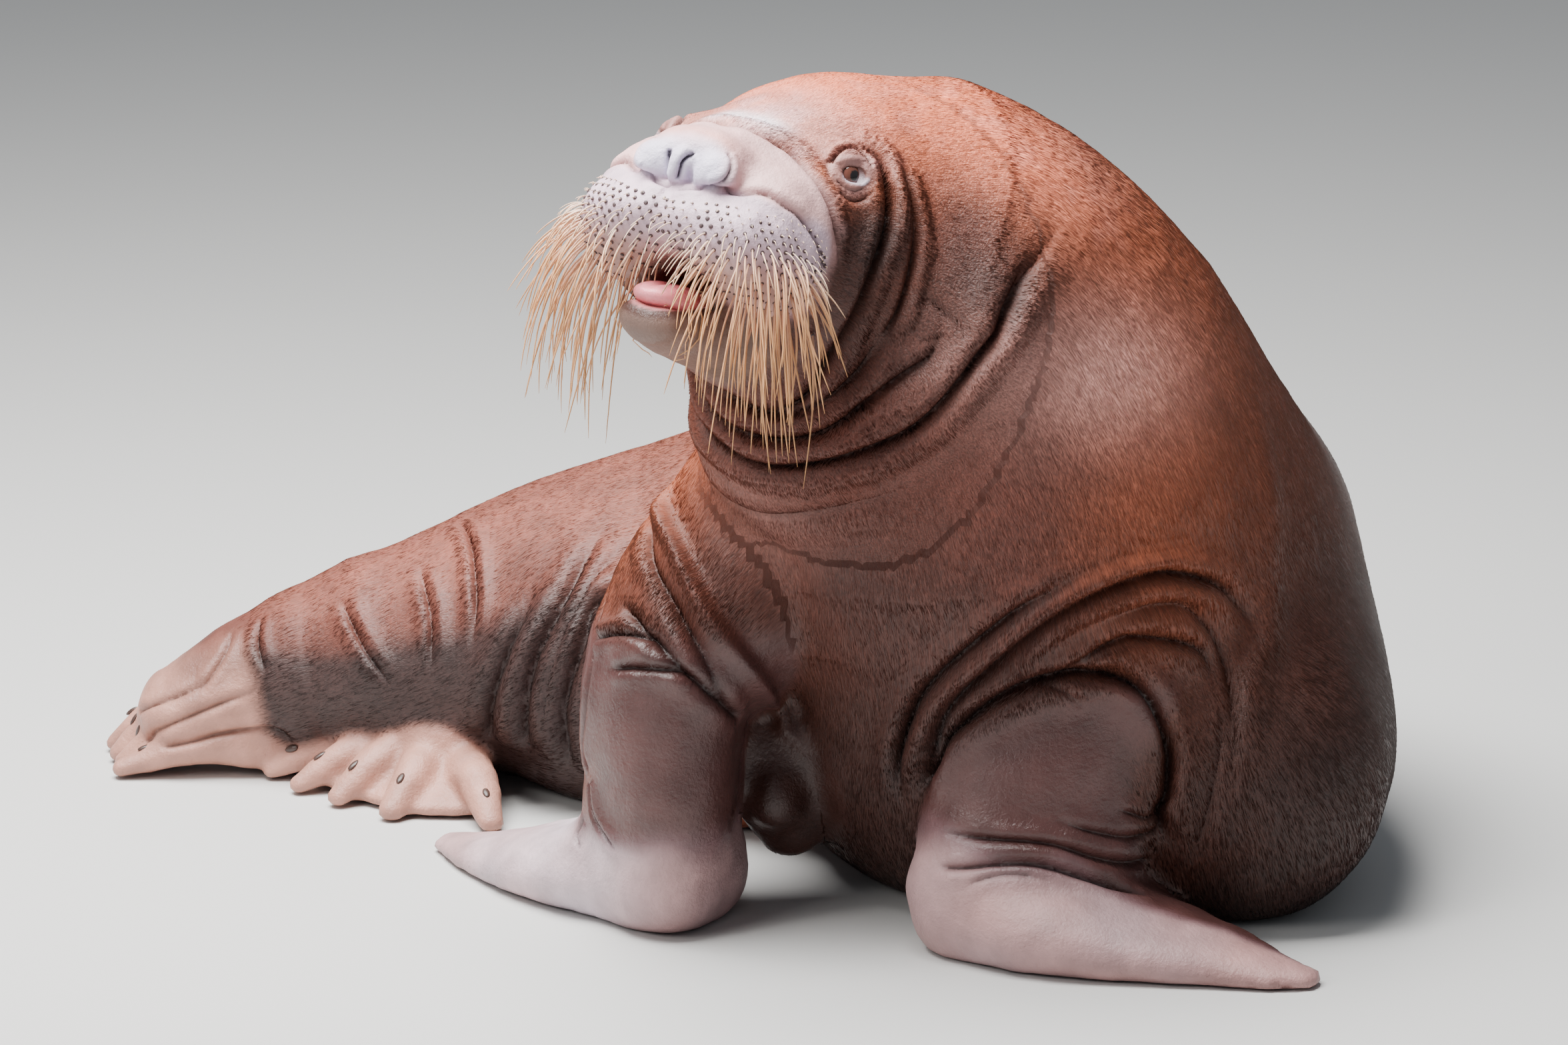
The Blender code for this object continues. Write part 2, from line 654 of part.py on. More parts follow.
def make_limbs(trunk):
    """Fore and hind limbs, which the trunk is cut clear of."""
    limbs = []
    for side in ("left", "right"):
        fore = wrap("foreflipper_" + side, fore_sweeps(side), LIMB_VOXEL, 560)
        keep_side(fore, *FLOOR)
        if side == "left":
            rump = Sweep(SPINE[:3], 0.06, 4)
            hind = wrap("hind_flipper_left", [rump] + hind_sweeps(side), HIND_VOXEL, 1000,
                        [spine_sweep()] + hind_sweeps(side))
            keep_side(hind, *SHANK_CUT)
        else:
            hind = wrap("hind_flipper_right", hind_sweeps(side), HIND_VOXEL, 800)
        keep_side(hind, *FLOOR)
        limbs += [fore, hind]
    tail_form = Sweep([(*p, *s) for p, s in zip(TAIL, TAIL_SIZE)], 0.02, 6)
    tail = wrap("tail", [tail_form], LIMB_VOXEL * 0.6, 220)
    hind_left, hind_right = limbs[1], limbs[3]
    part_from(hind_left, hind_right)
    part_from(tail, hind_left)
    limbs.append(tail)
    for limb in limbs:
        for piece in trunk:
            part_from(piece, limb)
    add_nails(hind_left, "left", "right")
    add_nails(hind_right, "right", "left")
    return limbs


def add_nails(foot, side, other):
    """A small nail on each toe that the other foot leaves free, joined in one union."""
    joints = HIND_JOINTS[side]
    nails = []
    for root, tip in zip(joints["toe_roots"], joints["toe_tips"]):
        along = np.array(tip) - np.array(root)
        along /= np.linalg.norm(along)
        above = np.array(tip) - along * NAIL_SETBACK + (0, 0, TOE_RADIUS)
        spot = settle(hind_sweeps(side), above[None], 8)
        if measure_all(hind_sweeps(other), spot)[0][0] < 2 * NAIL_SIZE[0]:
            continue
        normal = measure_all(hind_sweeps(side), spot)[1][0]
        normal /= np.linalg.norm(normal)
        along -= normal * (along @ normal)
        along /= np.linalg.norm(along)
        frame = np.stack([along, np.cross(normal, along), normal], axis=1)
        nails.append(lens("nail", spot[0], NAIL_SIZE, frame, detail=1))
    join_all(foot, nails)


def make_eyes():
    eyes = []
    for name, side in (("eye_left", 1), ("eye_right", -1)):
        forward, left, up = EYE_PLACE
        centre = in_head(forward, left * side, up)
        eyes.append(lens(name, centre, (EYE_RADIUS,) * 3))
    return eyes


def eye_slit(side):
    """What opens the lids in front of the eyeball."""
    centre, frame = eye_frame(side)
    half = (EYE_SLIT[0], EYE_SLIT[1], EYE_RADIUS * 1.6)
    place = centre + frame[2] * EYE_RADIUS
    upright = frame * np.array([[1.0], [-side], [1.0]])
    return lens("eye_slit", in_head(*place), half, HEAD_AXES @ upright.T)


def whisker(name, root, normal, heading, length, clear):
    """A curved, tapering bristle: sunk along the normal, then drooping from its heading."""
    rings, sides = 4, 3
    point = np.array(root, float)
    path = [point - normal * 0.012, point + normal * 0.002]
    for _ in range(rings - 1):
        point = path[-1] + heading * length / (rings - 1)
        path.append(point)
        heading = heading + DOWN * 0.8
        heading /= np.linalg.norm(heading)
    path = np.array(path)
    for _ in range(6):
        value, away = measure_all(clear, path[2:])
        path[2:] += away * np.maximum(0.006 - value, 0)[:, None]
    between = np.concatenate([path[1:], (path[1:-1] + path[2:]) / 2])
    if measure_all(clear, between)[0].min() < 2 * WHISKER_RADIUS:
        return None
    form = bmesh.new()
    loops = []
    for k, place in enumerate(path[:-1]):
        ahead = path[k + 1] - place
        ahead /= np.linalg.norm(ahead)
        side = np.cross(ahead, (0.3, 0.9, 0.1))
        side /= np.linalg.norm(side)
        top = np.cross(side, ahead)
        size = WHISKER_RADIUS * (1 - 0.75 * k / rings)
        loops.append([form.verts.new(place + size * (side * math.cos(a) + top * math.sin(a)))
                      for a in (2 * math.pi * s / sides for s in range(sides))])
    tip = form.verts.new(path[-1])
    form.faces.new(reversed(loops[0]))
    for low, high in zip(loops, loops[1:]):
        for s in range(sides):
            form.faces.new((low[s], low[(s + 1) % sides], high[(s + 1) % sides], high[s]))
    for s in range(sides):
        form.faces.new((loops[-1][s], loops[-1][(s + 1) % sides], tip))
    bmesh.ops.recalc_face_normals(form, faces=form.faces[:])
    bmesh.ops.triangulate(form, faces=form.faces[:])
    mesh = bpy.data.meshes.new(name)
    form.to_mesh(mesh)
    form.free()
    return new_object(name, mesh)


def add_whiskers(pad, side, clear):
    """Rows of bristles over the pad, joined to it in one union."""
    draw = random.Random(7 + side)
    bristles = []
    sweeps = pad_sweeps(side)
    for row in range(WHISKER_ROWS):
        for k in range(WHISKERS_PER_ROW):
            across = (k + 0.5 + 0.3 * draw.uniform(-1, 1)) / WHISKERS_PER_ROW
            down = (row + 0.5 + 0.3 * draw.uniform(-1, 1)) / WHISKER_ROWS
            angle = math.radians(12 + 100 * across)
            tilt = math.radians(30 - 85 * down)
            ray = HEAD_AXES @ np.array([
                math.cos(angle) * math.cos(tilt), math.sin(angle) * math.cos(tilt) * side,
                math.sin(tilt)])
            start = in_head(*PAD_MIDDLE * np.array([1, side, 1]))
            root = settle(sweeps, (start + ray * 0.075)[None], 8)
            normal = measure_all(sweeps, root)[1][0]
            heading = normal * 0.75 + DOWN * 0.55
            heading /= np.linalg.norm(heading)
            share = (0.25 + 0.75 * across) * (0.30 + 0.70 * down) * draw.uniform(0.85, 1.1)
            reach = WHISKER_LENGTH[0] + (WHISKER_LENGTH[1] - WHISKER_LENGTH[0]) * share
            bristle = whisker(pad.name + "_w", root[0], normal, heading, reach, clear)
            if bristle is not None:
                bristles.append(bristle)
    join_all(pad, bristles)


def make_head(neck):
    """Skull, whisker pads, lower jaw and tongue, with the mouth open."""
    spine = spine_sweep()
    nape = Sweep(SPINE[-3:], 0.06, 6)
    everything = [spine] + head_sweeps() + jaw_sweeps()
    head = wrap("head", [nape] + head_sweeps(), HEAD_VOXEL, 2600, trunk_sweeps() + head_sweeps(),
                fine=[(in_head(*np.array(EYE_PLACE) * (1, side, 1)), EYE_RADIUS * 2.6)
                      for side in (1, -1)] + [(in_head(0.23, 0, 0.0), 0.08)])
    keep_side(head, *turned(NECK_CUT))
    jaw = wrap("lower_jaw", jaw_sweeps(), HEAD_VOXEL, 460)
    mouth = wrap("mouth_hollow", mouth_sweeps(), HEAD_VOXEL, 200)
    pads = []
    for name, side in (("muzzle_left", 1), ("muzzle_right", -1)):
        pad = wrap(name, pad_sweeps(side), HEAD_VOXEL, 320)
        keep_side(pad, in_head(0, GAP * side, 0), HEAD_AXES @ np.array([0, side, 0]))
        pads.append(pad)
    for piece in pads + [jaw, head]:
        subtract(piece, mouth, remove=False)
    drop(mouth)
    for pad in pads:
        part_from(jaw, pad)
    for other in pads + [jaw]:
        part_from(head, other)
    part_from(neck, jaw)
    tongue = lens("tongue", in_head(*TONGUE_PLACE), TONGUE_SIZE)
    part_from(jaw, tongue)
    part_from(head, tongue)
    for pad in pads:
        part_from(pad, tongue)
    eyes = make_eyes()
    for eye, side in zip(eyes, (1, -1)):
        part_from(head, eye)
        subtract(head, eye_slit(side))
        forward, left, up = NOSTRIL_PLACE
        subtract(head, lens("nostril", in_head(forward, left * side, up), NOSTRIL_SIZE))
        forward, left, up = EAR_PLACE
        subtract(head, lens("ear", in_head(forward, left * side, up), EAR_SIZE))
    for pad, side in zip(pads, (1, -1)):
        clean(pad)
        add_whiskers(pad, side, everything)
    return [head, jaw, tongue] + pads, eyes


def build():
    for obj in list(bpy.data.objects):
        bpy.data.objects.remove(obj)
    trunk = make_trunk()
    limbs = make_limbs(trunk)
    head_parts, eyes = make_head(trunk[0])
    look = {"head": "fur", "lower_jaw": "muzzle", "tongue": "mouth", "muzzle_left": "muzzle",
            "muzzle_right": "muzzle", "foreflipper_left": "wet_skin",
            "foreflipper_right": "wet_skin", "hind_flipper_left": "bare_skin",
            "hind_flipper_right": "bare_skin", "eye_left": "eye", "eye_right": "eye"}
    for obj in list(trunk) + limbs + head_parts + eyes:
        clean(obj)
        dress(obj, look.get(obj.name, "fur"))
        obj.data.transform(Matrix.Translation(-Vector(MIDDLE)))


build()
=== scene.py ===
"""Walrus sitting up on its foreflippers: skin, coat, whiskers, eyes, nails and studio.

Every form is a row of ellipsoids swept along a smooth curve. The sweeps are blended into
one field, one skin is settled on it, and folds, lids and wrinkles are pressed into that
skin. Places are in metres, in the animal's own setting-out frame; the last step of each
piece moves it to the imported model's origin.
"""
import logging
import math
from dataclasses import dataclass, field
from enum import Enum
from typing import Callable, Sequence

import bmesh
import bpy
import numpy as np
from mathutils import Matrix, Vector


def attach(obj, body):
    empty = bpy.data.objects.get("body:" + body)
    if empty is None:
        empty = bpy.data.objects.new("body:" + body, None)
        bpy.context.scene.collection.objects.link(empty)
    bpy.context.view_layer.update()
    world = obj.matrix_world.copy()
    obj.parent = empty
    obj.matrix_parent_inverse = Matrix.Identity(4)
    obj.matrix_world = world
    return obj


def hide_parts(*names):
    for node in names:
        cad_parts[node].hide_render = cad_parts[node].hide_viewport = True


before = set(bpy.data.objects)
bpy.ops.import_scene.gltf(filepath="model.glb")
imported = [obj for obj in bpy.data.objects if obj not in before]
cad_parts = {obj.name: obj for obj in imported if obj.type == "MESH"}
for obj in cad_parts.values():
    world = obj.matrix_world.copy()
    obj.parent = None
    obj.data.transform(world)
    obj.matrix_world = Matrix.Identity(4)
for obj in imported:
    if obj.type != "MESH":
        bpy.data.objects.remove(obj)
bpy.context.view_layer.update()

LOG = logging.getLogger("walrus")
ORIGIN = np.array([-0.069, 0.375, 0.0])
DOWN = np.array([0.0, 0.0, -1.0])
Array = np.ndarray


class Side(Enum):
    """Left or right of the animal, with the sign of its sideways axis."""

    LEFT = 1
    RIGHT = -1


class Place(Enum):
    """Which axes the points of a curve are given in."""

    BODY = "body"
    HEAD = "head"
    EYE = "eye"


# Smooth helpers

def smooth(low: float, high: float, value: Array) -> Array:
    """Smooth step.

    Args:
        low: value that gives 0.
        high: value that gives 1.
        value: the numbers to map.

    Returns:
        Numbers from 0 to 1, with soft ends.
    """
    t = np.clip((value - low) / (high - low), 0.0, 1.0)
    return t * t * (3.0 - 2.0 * t)


def unit(vectors: Array) -> Array:
    """Return the vectors at length one."""
    return vectors / (np.linalg.norm(vectors, axis=-1, keepdims=True) + 1e-12)


def lattice_noise(points: Array, seed: int = 0) -> Array:
    """Smooth noise on a unit lattice.

    Args:
        points: N x 3 places, already divided by the wanted cell size.
        seed: picks another pattern.

    Returns:
        N numbers from -1 to 1.
    """
    cell = np.floor(points).astype(np.int64)
    part = points - cell
    part = part * part * (3 - 2 * part)
    total = np.zeros(len(points))
    for dx in (0, 1):
        for dy in (0, 1):
            for dz in (0, 1):
                key = ((cell[:, 0] + dx) * 73856093) ^ ((cell[:, 1] + dy) * 19349663)
                key = key ^ ((cell[:, 2] + dz) * 83492791) ^ (seed * 2654435761)
                key = ((key ^ (key >> 13)) * 1274126177) & 0x7FFFFFFF
                value = ((key ^ (key >> 16)) & 0xFFFF) / 32767.5 - 1.0
                weight = np.abs(1 - dx - part[:, 0]) * np.abs(1 - dy - part[:, 1])
                total += value * weight * np.abs(1 - dz - part[:, 2])
    return total


def along_curve(stations: Sequence[Sequence[float]], count: int) -> Array:
    """Rows at even steps along a smooth curve.

    Args:
        stations: rows whose first three numbers are a place.
        count: how many rows to return.

    Returns:
        count x width array that passes through the stations.
    """
    rows = np.array(stations, float)
    last = len(rows) - 1
    if last == 0:
        return rows
    padded = np.vstack([2 * rows[0] - rows[1], rows, 2 * rows[-1] - rows[-2]])
    place = np.linspace(0, last, count * 8)
    k = np.minimum(place.astype(int), last - 1)
    f = (place - k)[:, None]
    a, b, c, d = padded[k], padded[k + 1], padded[k + 2], padded[k + 3]
    curve = 0.5 * (2 * b + (c - a) * f + (2 * a - 5 * b + 4 * c - d) * f ** 2
                   + (3 * b - a - 3 * c + d) * f ** 3)
    run = np.r_[0, np.cumsum(np.linalg.norm(np.diff(curve[:, :3], axis=0), axis=1))]
    even = np.linspace(0, run[-1], count)
    return np.stack([np.interp(even, run, column) for column in curve.T], axis=1)


@dataclass(frozen=True)
class HeadPose:
    """Where the head is and how it is turned."""

    centre: tuple = (0.0, -0.02, 0.931)
    turn: float = 32.0
    lift: float = 19.0
    roll: float = -5.0

    def axes(self) -> Array:
        """Return columns: forward, left and up of the head."""
        turn, lift, roll = (math.radians(a) for a in (self.turn, self.lift, self.roll))
        forward = np.array([-math.sin(turn) * math.cos(lift),
                            -math.cos(turn) * math.cos(lift), math.sin(lift)])
        left = unit(np.cross([0.0, 0.0, 1.0], forward))
        up = np.cross(forward, left)
        side = left * math.cos(roll) + up * math.sin(roll)
        top = up * math.cos(roll) - left * math.sin(roll)
        return np.stack([forward, side, top], axis=1)

    def place(self, points: Array) -> Array:
        """Return the places of points given in the head's own axes."""
        return np.array(self.centre) + np.asarray(points, float) @ self.axes().T

    def within(self, points: Array) -> Array:
        """Return the points in the head's own axes."""
        return (points - np.array(self.centre)) @ self.axes()


HEAD = HeadPose()


class Sweep:
    """Ellipsoids in a row: each station is x, y, z, half width and half height."""

    def __init__(self, stations: Sequence[Sequence[float]], blend: float, count: int = 12,
                 up: Sequence[float] = (0, 0, 1), roll: float = 0.0,
                 depth: float | None = None, where: Place = Place.BODY,
                 soft: float = 0.0) -> None:
        """Lay the ellipsoids out.

        Args:
            stations: rows of place and half sizes.
            blend: width of the soft joint with its neighbours.
            count: number of ellipsoids.
            up: direction that the half heights start from.
            roll: turn of the cross-section, in degrees.
            depth: half length of each ellipsoid, or None for its smaller half size.
            where: the axes that the stations are given in.
            soft: how gently the last ellipsoid takes over, in stations.
        """
        self.soft = soft
        rows = along_curve(stations, count)
        centre = rows[:, :3]
        along = np.gradient(centre, axis=0) if len(rows) > 1 else np.array([[1.0, 0, 0]])
        along = unit(along)
        top = np.array(up, float)
        tops = []
        for direction in along:
            top = unit(top - direction * (top @ direction))
            tops.append(top)
        tops = np.array(tops)
        sides = np.cross(tops, along)
        turn = math.radians(roll)
        sides, tops = (sides * math.cos(turn) + tops * math.sin(turn),
                       tops * math.cos(turn) - sides * math.sin(turn))
        axes = np.stack([along, sides, tops], axis=1)
        if where is Place.HEAD:
            centre = HEAD.place(centre)
            axes = axes @ HEAD.axes().T
        length = np.minimum(rows[:, 3], rows[:, 4]) if depth is None else np.full(len(rows), depth)
        self.centre = centre
        self.axes = axes
        self.half = np.stack([length, rows[:, 3], rows[:, 4]], axis=1)
        self.blend = blend
        self.step = np.linalg.norm(np.diff(centre, axis=0), axis=1).mean() if len(rows) > 1 else 1.0
        self.middle = centre.mean(axis=0)
        self.reach = (np.linalg.norm(centre - self.middle, axis=1) + self.half.max(axis=1)).max()

    def foot(self, points: Array) -> tuple[Array, Array, Array, Array]:
        """Nearest station of each point.

        Args:
            points: N x 3 places.

        Returns:
            Station number with its fraction, centre, axes and half sizes there.
        """
        best = np.full(len(points), np.inf)
        index = np.zeros(len(points))
        for i, (centre, axes, half) in enumerate(zip(self.centre, self.axes, self.half)):
            q = ((points - centre) @ axes.T) / half
            k0 = np.sqrt((q * q).sum(axis=1))
            k1 = np.sqrt(((q / half) ** 2).sum(axis=1)) + 1e-9
            value = k0 * (k0 - 1) / k1
            nearer = value < best
            best[nearer] = value[nearer]
            index[nearer] = i
        last = len(self.centre) - 1
        place = index
        for _ in range(8):
            low = np.clip(place.astype(int), 0, max(last - 1, 0))
            high = np.minimum(low + 1, last)
            share = (place - low)[:, None]
            centre = self.centre[low] * (1 - share) + self.centre[high] * share
            along = self.axes[low, 0] * (1 - share) + self.axes[high, 0] * share
            slide = ((points - centre) * along).sum(axis=1) / self.step
            free = place + 0.65 * slide
            place = np.clip(free, 0, last)
        if self.soft:
            left = np.logaddexp(0, (last - free) / self.soft)
            place = np.clip(last - self.soft * left, 0, last)
        low = np.clip(place.astype(int), 0, max(last - 1, 0))
        high = np.minimum(low + 1, last)
        share = (place - low)[:, None]
        centre = self.centre[low] * (1 - share) + self.centre[high] * share
        half = self.half[low] * (1 - share) + self.half[high] * share
        axes = self.axes[low] * (1 - share[..., None]) + self.axes[high] * share[..., None]
        return place, centre, axes, half

    def measure(self, points: Array) -> tuple[Array, Array]:
        """Return the distance to the sweep and the outward normal at each point."""
        _, centre, axes, half = self.foot(points)
        q = np.einsum("nij,nj->ni", axes, points - centre) / half
        k0 = np.sqrt((q * q).sum(axis=1))
        slope = np.einsum("nij,ni->nj", axes, q / half)
        k1 = np.linalg.norm(slope, axis=1) + 1e-9
        return k0 * (k0 - 1) / k1, slope / k1[:, None]

    def strand(self, points: Array) -> tuple[Array, Array]:
        """Coordinates that run with the sweep.

        Args:
            points: N x 3 places.

        Returns:
            Length along, side and top of each point, and the sweep's direction there.
        """
        place, centre, axes, _ = self.foot(points)
        local = np.einsum("nij,nj->ni", axes, points - centre)
        return np.stack([place * self.step, local[:, 1], local[:, 2]], axis=1), axes[:, 0]


class Field:
    """Blended sweeps, less the hollows cut into them."""

    def __init__(self, forms: Sequence[Sweep], hollows: Sequence[Sweep] = ()) -> None:
        """Keep the forms and the hollows."""
        self.forms = list(forms)
        self.hollows = list(hollows)

    def measure(self, points: Array) -> tuple[Array, Array]:
        """Distance to the surface and outward normal.

        Args:
            points: N x 3 places.

        Returns:
            N distances, below 0 inside, and N x 3 normals.
        """
        value = np.full(len(points), 9.0)
        normal = np.zeros((len(points), 3))
        for sweep in self.forms:
            near = np.linalg.norm(points - sweep.middle, axis=1) < sweep.reach + sweep.blend + 0.05
            if not near.any():
                continue
            new, new_normal = sweep.measure(points[near])
            old, old_normal = value[near], normal[near]
            overlap = np.maximum(sweep.blend - np.abs(old - new), 0) / sweep.blend
            share = np.where(new < old, 1 - overlap / 2, overlap / 2)[:, None]
            value[near] = np.minimum(old, new) - overlap ** 2 * sweep.blend / 4
            normal[near] = old_normal * (1 - share) + new_normal * share
        for sweep in self.hollows:
            near = np.linalg.norm(points - sweep.middle, axis=1) < sweep.reach + sweep.blend + 0.02
            if not near.any():
                continue
            new, new_normal = sweep.measure(points[near])
            new, new_normal = -new, -new_normal
            old, old_normal = value[near], normal[near]
            overlap = np.maximum(sweep.blend - np.abs(old - new), 0) / sweep.blend
            share = np.where(new > old, 1 - overlap / 2, overlap / 2)[:, None]
            value[near] = np.maximum(old, new) + overlap ** 2 * sweep.blend / 4
            normal[near] = old_normal * (1 - share) + new_normal * share
        return value, normal

    def settle(self, points: Array, rounds: int, level: float = 0.0, most: float = 0.02) -> Array:
        """Move points onto the surface.

        Args:
            points: N x 3 places.
            rounds: how often to step.
            level: distance from the field's surface to settle at.
            most: longest step, in metres.

        Returns:
            The moved points.
        """
        for _ in range(rounds):
            value, normal = self.measure(points)
            size = (normal ** 2).sum(axis=1) + 1e-6
            step = normal * ((value - level) / size)[:, None]
            length = np.linalg.norm(step, axis=1)[:, None]
            points = points - step * np.minimum(1, most / (length + 1e-12))
        return points


# The animal's forms

@dataclass(frozen=True)
class Trunk:
    """Body from the rump to the neck, with throat, belly and flanks."""

    spine: tuple = (
        (-0.63, 0.71, 0.125, 0.130, 0.120), (-0.54, 0.71, 0.140, 0.180, 0.145),
        (-0.42, 0.72, 0.160, 0.240, 0.175), (-0.28, 0.73, 0.190, 0.300, 0.200),
        (-0.10, 0.74, 0.220, 0.350, 0.225), (0.10, 0.70, 0.260, 0.370, 0.270),
        (0.26, 0.58, 0.290, 0.395, 0.305), (0.345, 0.41, 0.325, 0.412, 0.340),
        (0.335, 0.27, 0.360, 0.405, 0.385), (0.292, 0.18, 0.485, 0.390, 0.378),
        (0.265, 0.13, 0.600, 0.355, 0.368), (0.215, 0.09, 0.725, 0.315, 0.305),
        (0.138, 0.05, 0.838, 0.250, 0.278), (0.055, 0.00, 0.893, 0.187, 0.190))
    throat: tuple = ((0.03, -0.02, 0.78, 0.14, 0.13), (0.05, -0.01, 0.66, 0.17, 0.17))
    belly: tuple = ((0.34, 0.26, 0.19, 0.42, 0.25),)
    flank: tuple = ((0.58, 0.04, 0.18, 0.19, 0.20), (0.60, 0.24, 0.18, 0.19, 0.21),
                    (0.52, 0.48, 0.18, 0.20, 0.21))
    breast: tuple = ((-0.02, 0.09, 0.30, 0.080, 0.060), (-0.01, 0.04, 0.22, 0.068, 0.045),
                     (0.00, 0.03, 0.15, 0.060, 0.040), (0.01, 0.05, 0.09, 0.040, 0.030))
    nodule: tuple = ((-0.010, -0.008, 0.150, 0.028, 0.032),)
    inner_flank: tuple = ((-0.05, 0.44, 0.16, 0.16, 0.18), (-0.22, 0.56, 0.16, 0.16, 0.18))

    def backbone(self) -> Sweep:
        """Return the sweep along the spine, from the tail to the head."""
        return Sweep(self.spine, 0.06, 26, soft=0.25)

    def forms(self) -> list[Sweep]:
        """Return the body's sweeps."""
        return [self.backbone(), Sweep(self.throat, 0.08, 3), Sweep(self.belly, 0.10, depth=0.36),
                Sweep(self.flank, 0.10, 5), Sweep(self.inner_flank, 0.08, 3),
                Sweep(self.breast, 0.03, 6, up=(0, -1, 0)), Sweep(self.nodule, 0.03)]


@dataclass(frozen=True)
class ForeLimb:
    """Arm and flipper of one side."""

    arm: tuple
    flipper: tuple
    roll: float
    arm_broad: float = 0.145
    arm_thin: float = 0.095
    palm_half_width: float = 0.125
    arm_size: tuple = ((1.15, 1.75), (1.05, 1.45), (0.98, 1.10), (0.96, 1.0), (1.0, 0.95))
    palm_size: tuple = ((0.80, 0.090), (0.98, 0.072), (0.92, 0.054), (0.68, 0.036),
                        (0.42, 0.022), (0.22, 0.013))

    def arm_sweep(self) -> Sweep:
        """Return the sweep from the shoulder to the wrist."""
        rows = [(*p, self.arm_broad * w, self.arm_thin * h)
                for p, (w, h) in zip(self.arm, self.arm_size)]
        return Sweep(rows, 0.03, 10, up=(0, -1, 0), roll=self.roll)

    def palm_sweep(self) -> Sweep:
        """Return the sweep from the wrist to the flipper's tip."""
        rows = [(*p, self.palm_half_width * w, h) for p, (w, h) in zip(self.flipper, self.palm_size)]
        return Sweep(rows, 0.03, 12)

    def forms(self) -> list[Sweep]:
        """Return the limb's sweeps."""
        return [self.arm_sweep(), self.palm_sweep()]


LEFT_ARM = ForeLimb(
    arm=((0.44, 0.04, 0.44), (0.38, -0.04, 0.32), (0.335, -0.085, 0.24), (0.315, -0.11, 0.16),
         (0.30, -0.135, 0.07)),
    flipper=((0.25, -0.13, 0.055), (0.33, -0.165, 0.045), (0.43, -0.195, 0.03),
             (0.53, -0.24, 0.018), (0.60, -0.28, 0.010), (0.645, -0.30, 0.008)),
    roll=0.0)
RIGHT_ARM = ForeLimb(
    arm=((0.0, 0.10, 0.46), (-0.10, 0.04, 0.37), (-0.15, 0.01, 0.28), (-0.155, 0.0, 0.18),
         (-0.165, 0.01, 0.07)),
    flipper=((-0.14, 0.02, 0.055), (-0.20, 0.07, 0.045), (-0.27, 0.135, 0.03),
             (-0.34, 0.20, 0.018), (-0.40, 0.255, 0.010), (-0.435, 0.29, 0.008)),
    roll=90.0)


@dataclass(frozen=True)
class HindLimb:
    """Shank, five toes and the web between them."""

    shank: tuple
    shank_size: tuple
    toe_roots: tuple
    toe_tips: tuple
    toe_radius: float = 0.030

    def shank_sweep(self) -> Sweep:
        """Return the sweep of the shank."""
        return Sweep([(*p, *size) for p, size in zip(self.shank, self.shank_size)], 0.03, 8)

    def forms(self) -> list[Sweep]:
        """Return the limb's sweeps."""
        sweeps = [self.shank_sweep()]
        roots = [np.array(p) for p in self.toe_roots]
        tips = [np.array(p) for p in self.toe_tips]
        radius = self.toe_radius
        for root, tip in zip(roots, tips):
            middle = (root + tip) / 2 + (0, 0, 0.016)
            toe = [(*root, radius * 1.15, radius * 1.1), (*middle, radius * 0.92, radius * 0.85),
                   (*tip, radius * 0.55, radius * 0.45)]
            sweeps.append(Sweep(toe, 0.012, 7))
        for k in range(4):
            root = (roots[k] + roots[k + 1]) / 2
            tip = (tips[k] + tips[k + 1]) / 2 * 0.75 + root * 0.25
            spread = np.linalg.norm(tips[k + 1] - tips[k]) * 0.40
            web = [(*root, 0.03, 0.03), (*((root + tip) / 2), spread * 0.8, 0.016),
                   (*(tip * (1, 1, 0) + (0, 0, 0.012)), spread, 0.010)]
            sweeps.append(Sweep(web, 0.015, 5))
        return sweeps


LEFT_FOOT = HindLimb(
    shank=((-0.56, 0.72, 0.14), (-0.66, 0.71, 0.12), (-0.75, 0.70, 0.10), (-0.82, 0.70, 0.075)),
    shank_size=((0.155, 0.140), (0.118, 0.108), (0.092, 0.086), (0.085, 0.060)),
    toe_roots=((-0.79, 0.74, 0.070), (-0.80, 0.73, 0.068), (-0.80, 0.71, 0.064),
               (-0.79, 0.67, 0.046), (-0.70, 0.645, 0.040)),
    toe_tips=((-0.900, 0.82, 0.012), (-0.915, 0.760, 0.012), (-0.905, 0.705, 0.012),
              (-0.895, 0.665, 0.012), (-0.895, 0.625, 0.012)))
RIGHT_FOOT = HindLimb(
    shank=((-0.36, 0.65, 0.12), (-0.40, 0.635, 0.115), (-0.44, 0.61, 0.10), (-0.48, 0.58, 0.07)),
    shank_size=((0.105, 0.100), (0.105, 0.100), (0.100, 0.086), (0.095, 0.060)),
    toe_roots=((-0.50, 0.615, 0.060), (-0.50, 0.595, 0.060), (-0.49, 0.57, 0.058),
               (-0.46, 0.55, 0.055), (-0.43, 0.53, 0.050)),
    toe_tips=((-0.690, 0.620, 0.012), (-0.650, 0.550, 0.012), (-0.595, 0.485, 0.012),
              (-0.520, 0.420, 0.012), (-0.385, 0.365, 0.012)))


@dataclass(frozen=True)
class TailStub:
    """Short tail between the hind limbs."""

    path: tuple = ((-0.60, 0.79, 0.15), (-0.68, 0.81, 0.125), (-0.745, 0.82, 0.10))
    size: tuple = ((0.060, 0.045), (0.036, 0.026), (0.014, 0.010))

    def forms(self) -> list[Sweep]:
        """Return the tail's sweep."""
        return [Sweep([(*p, *s) for p, s in zip(self.path, self.size)], 0.02, 6)]


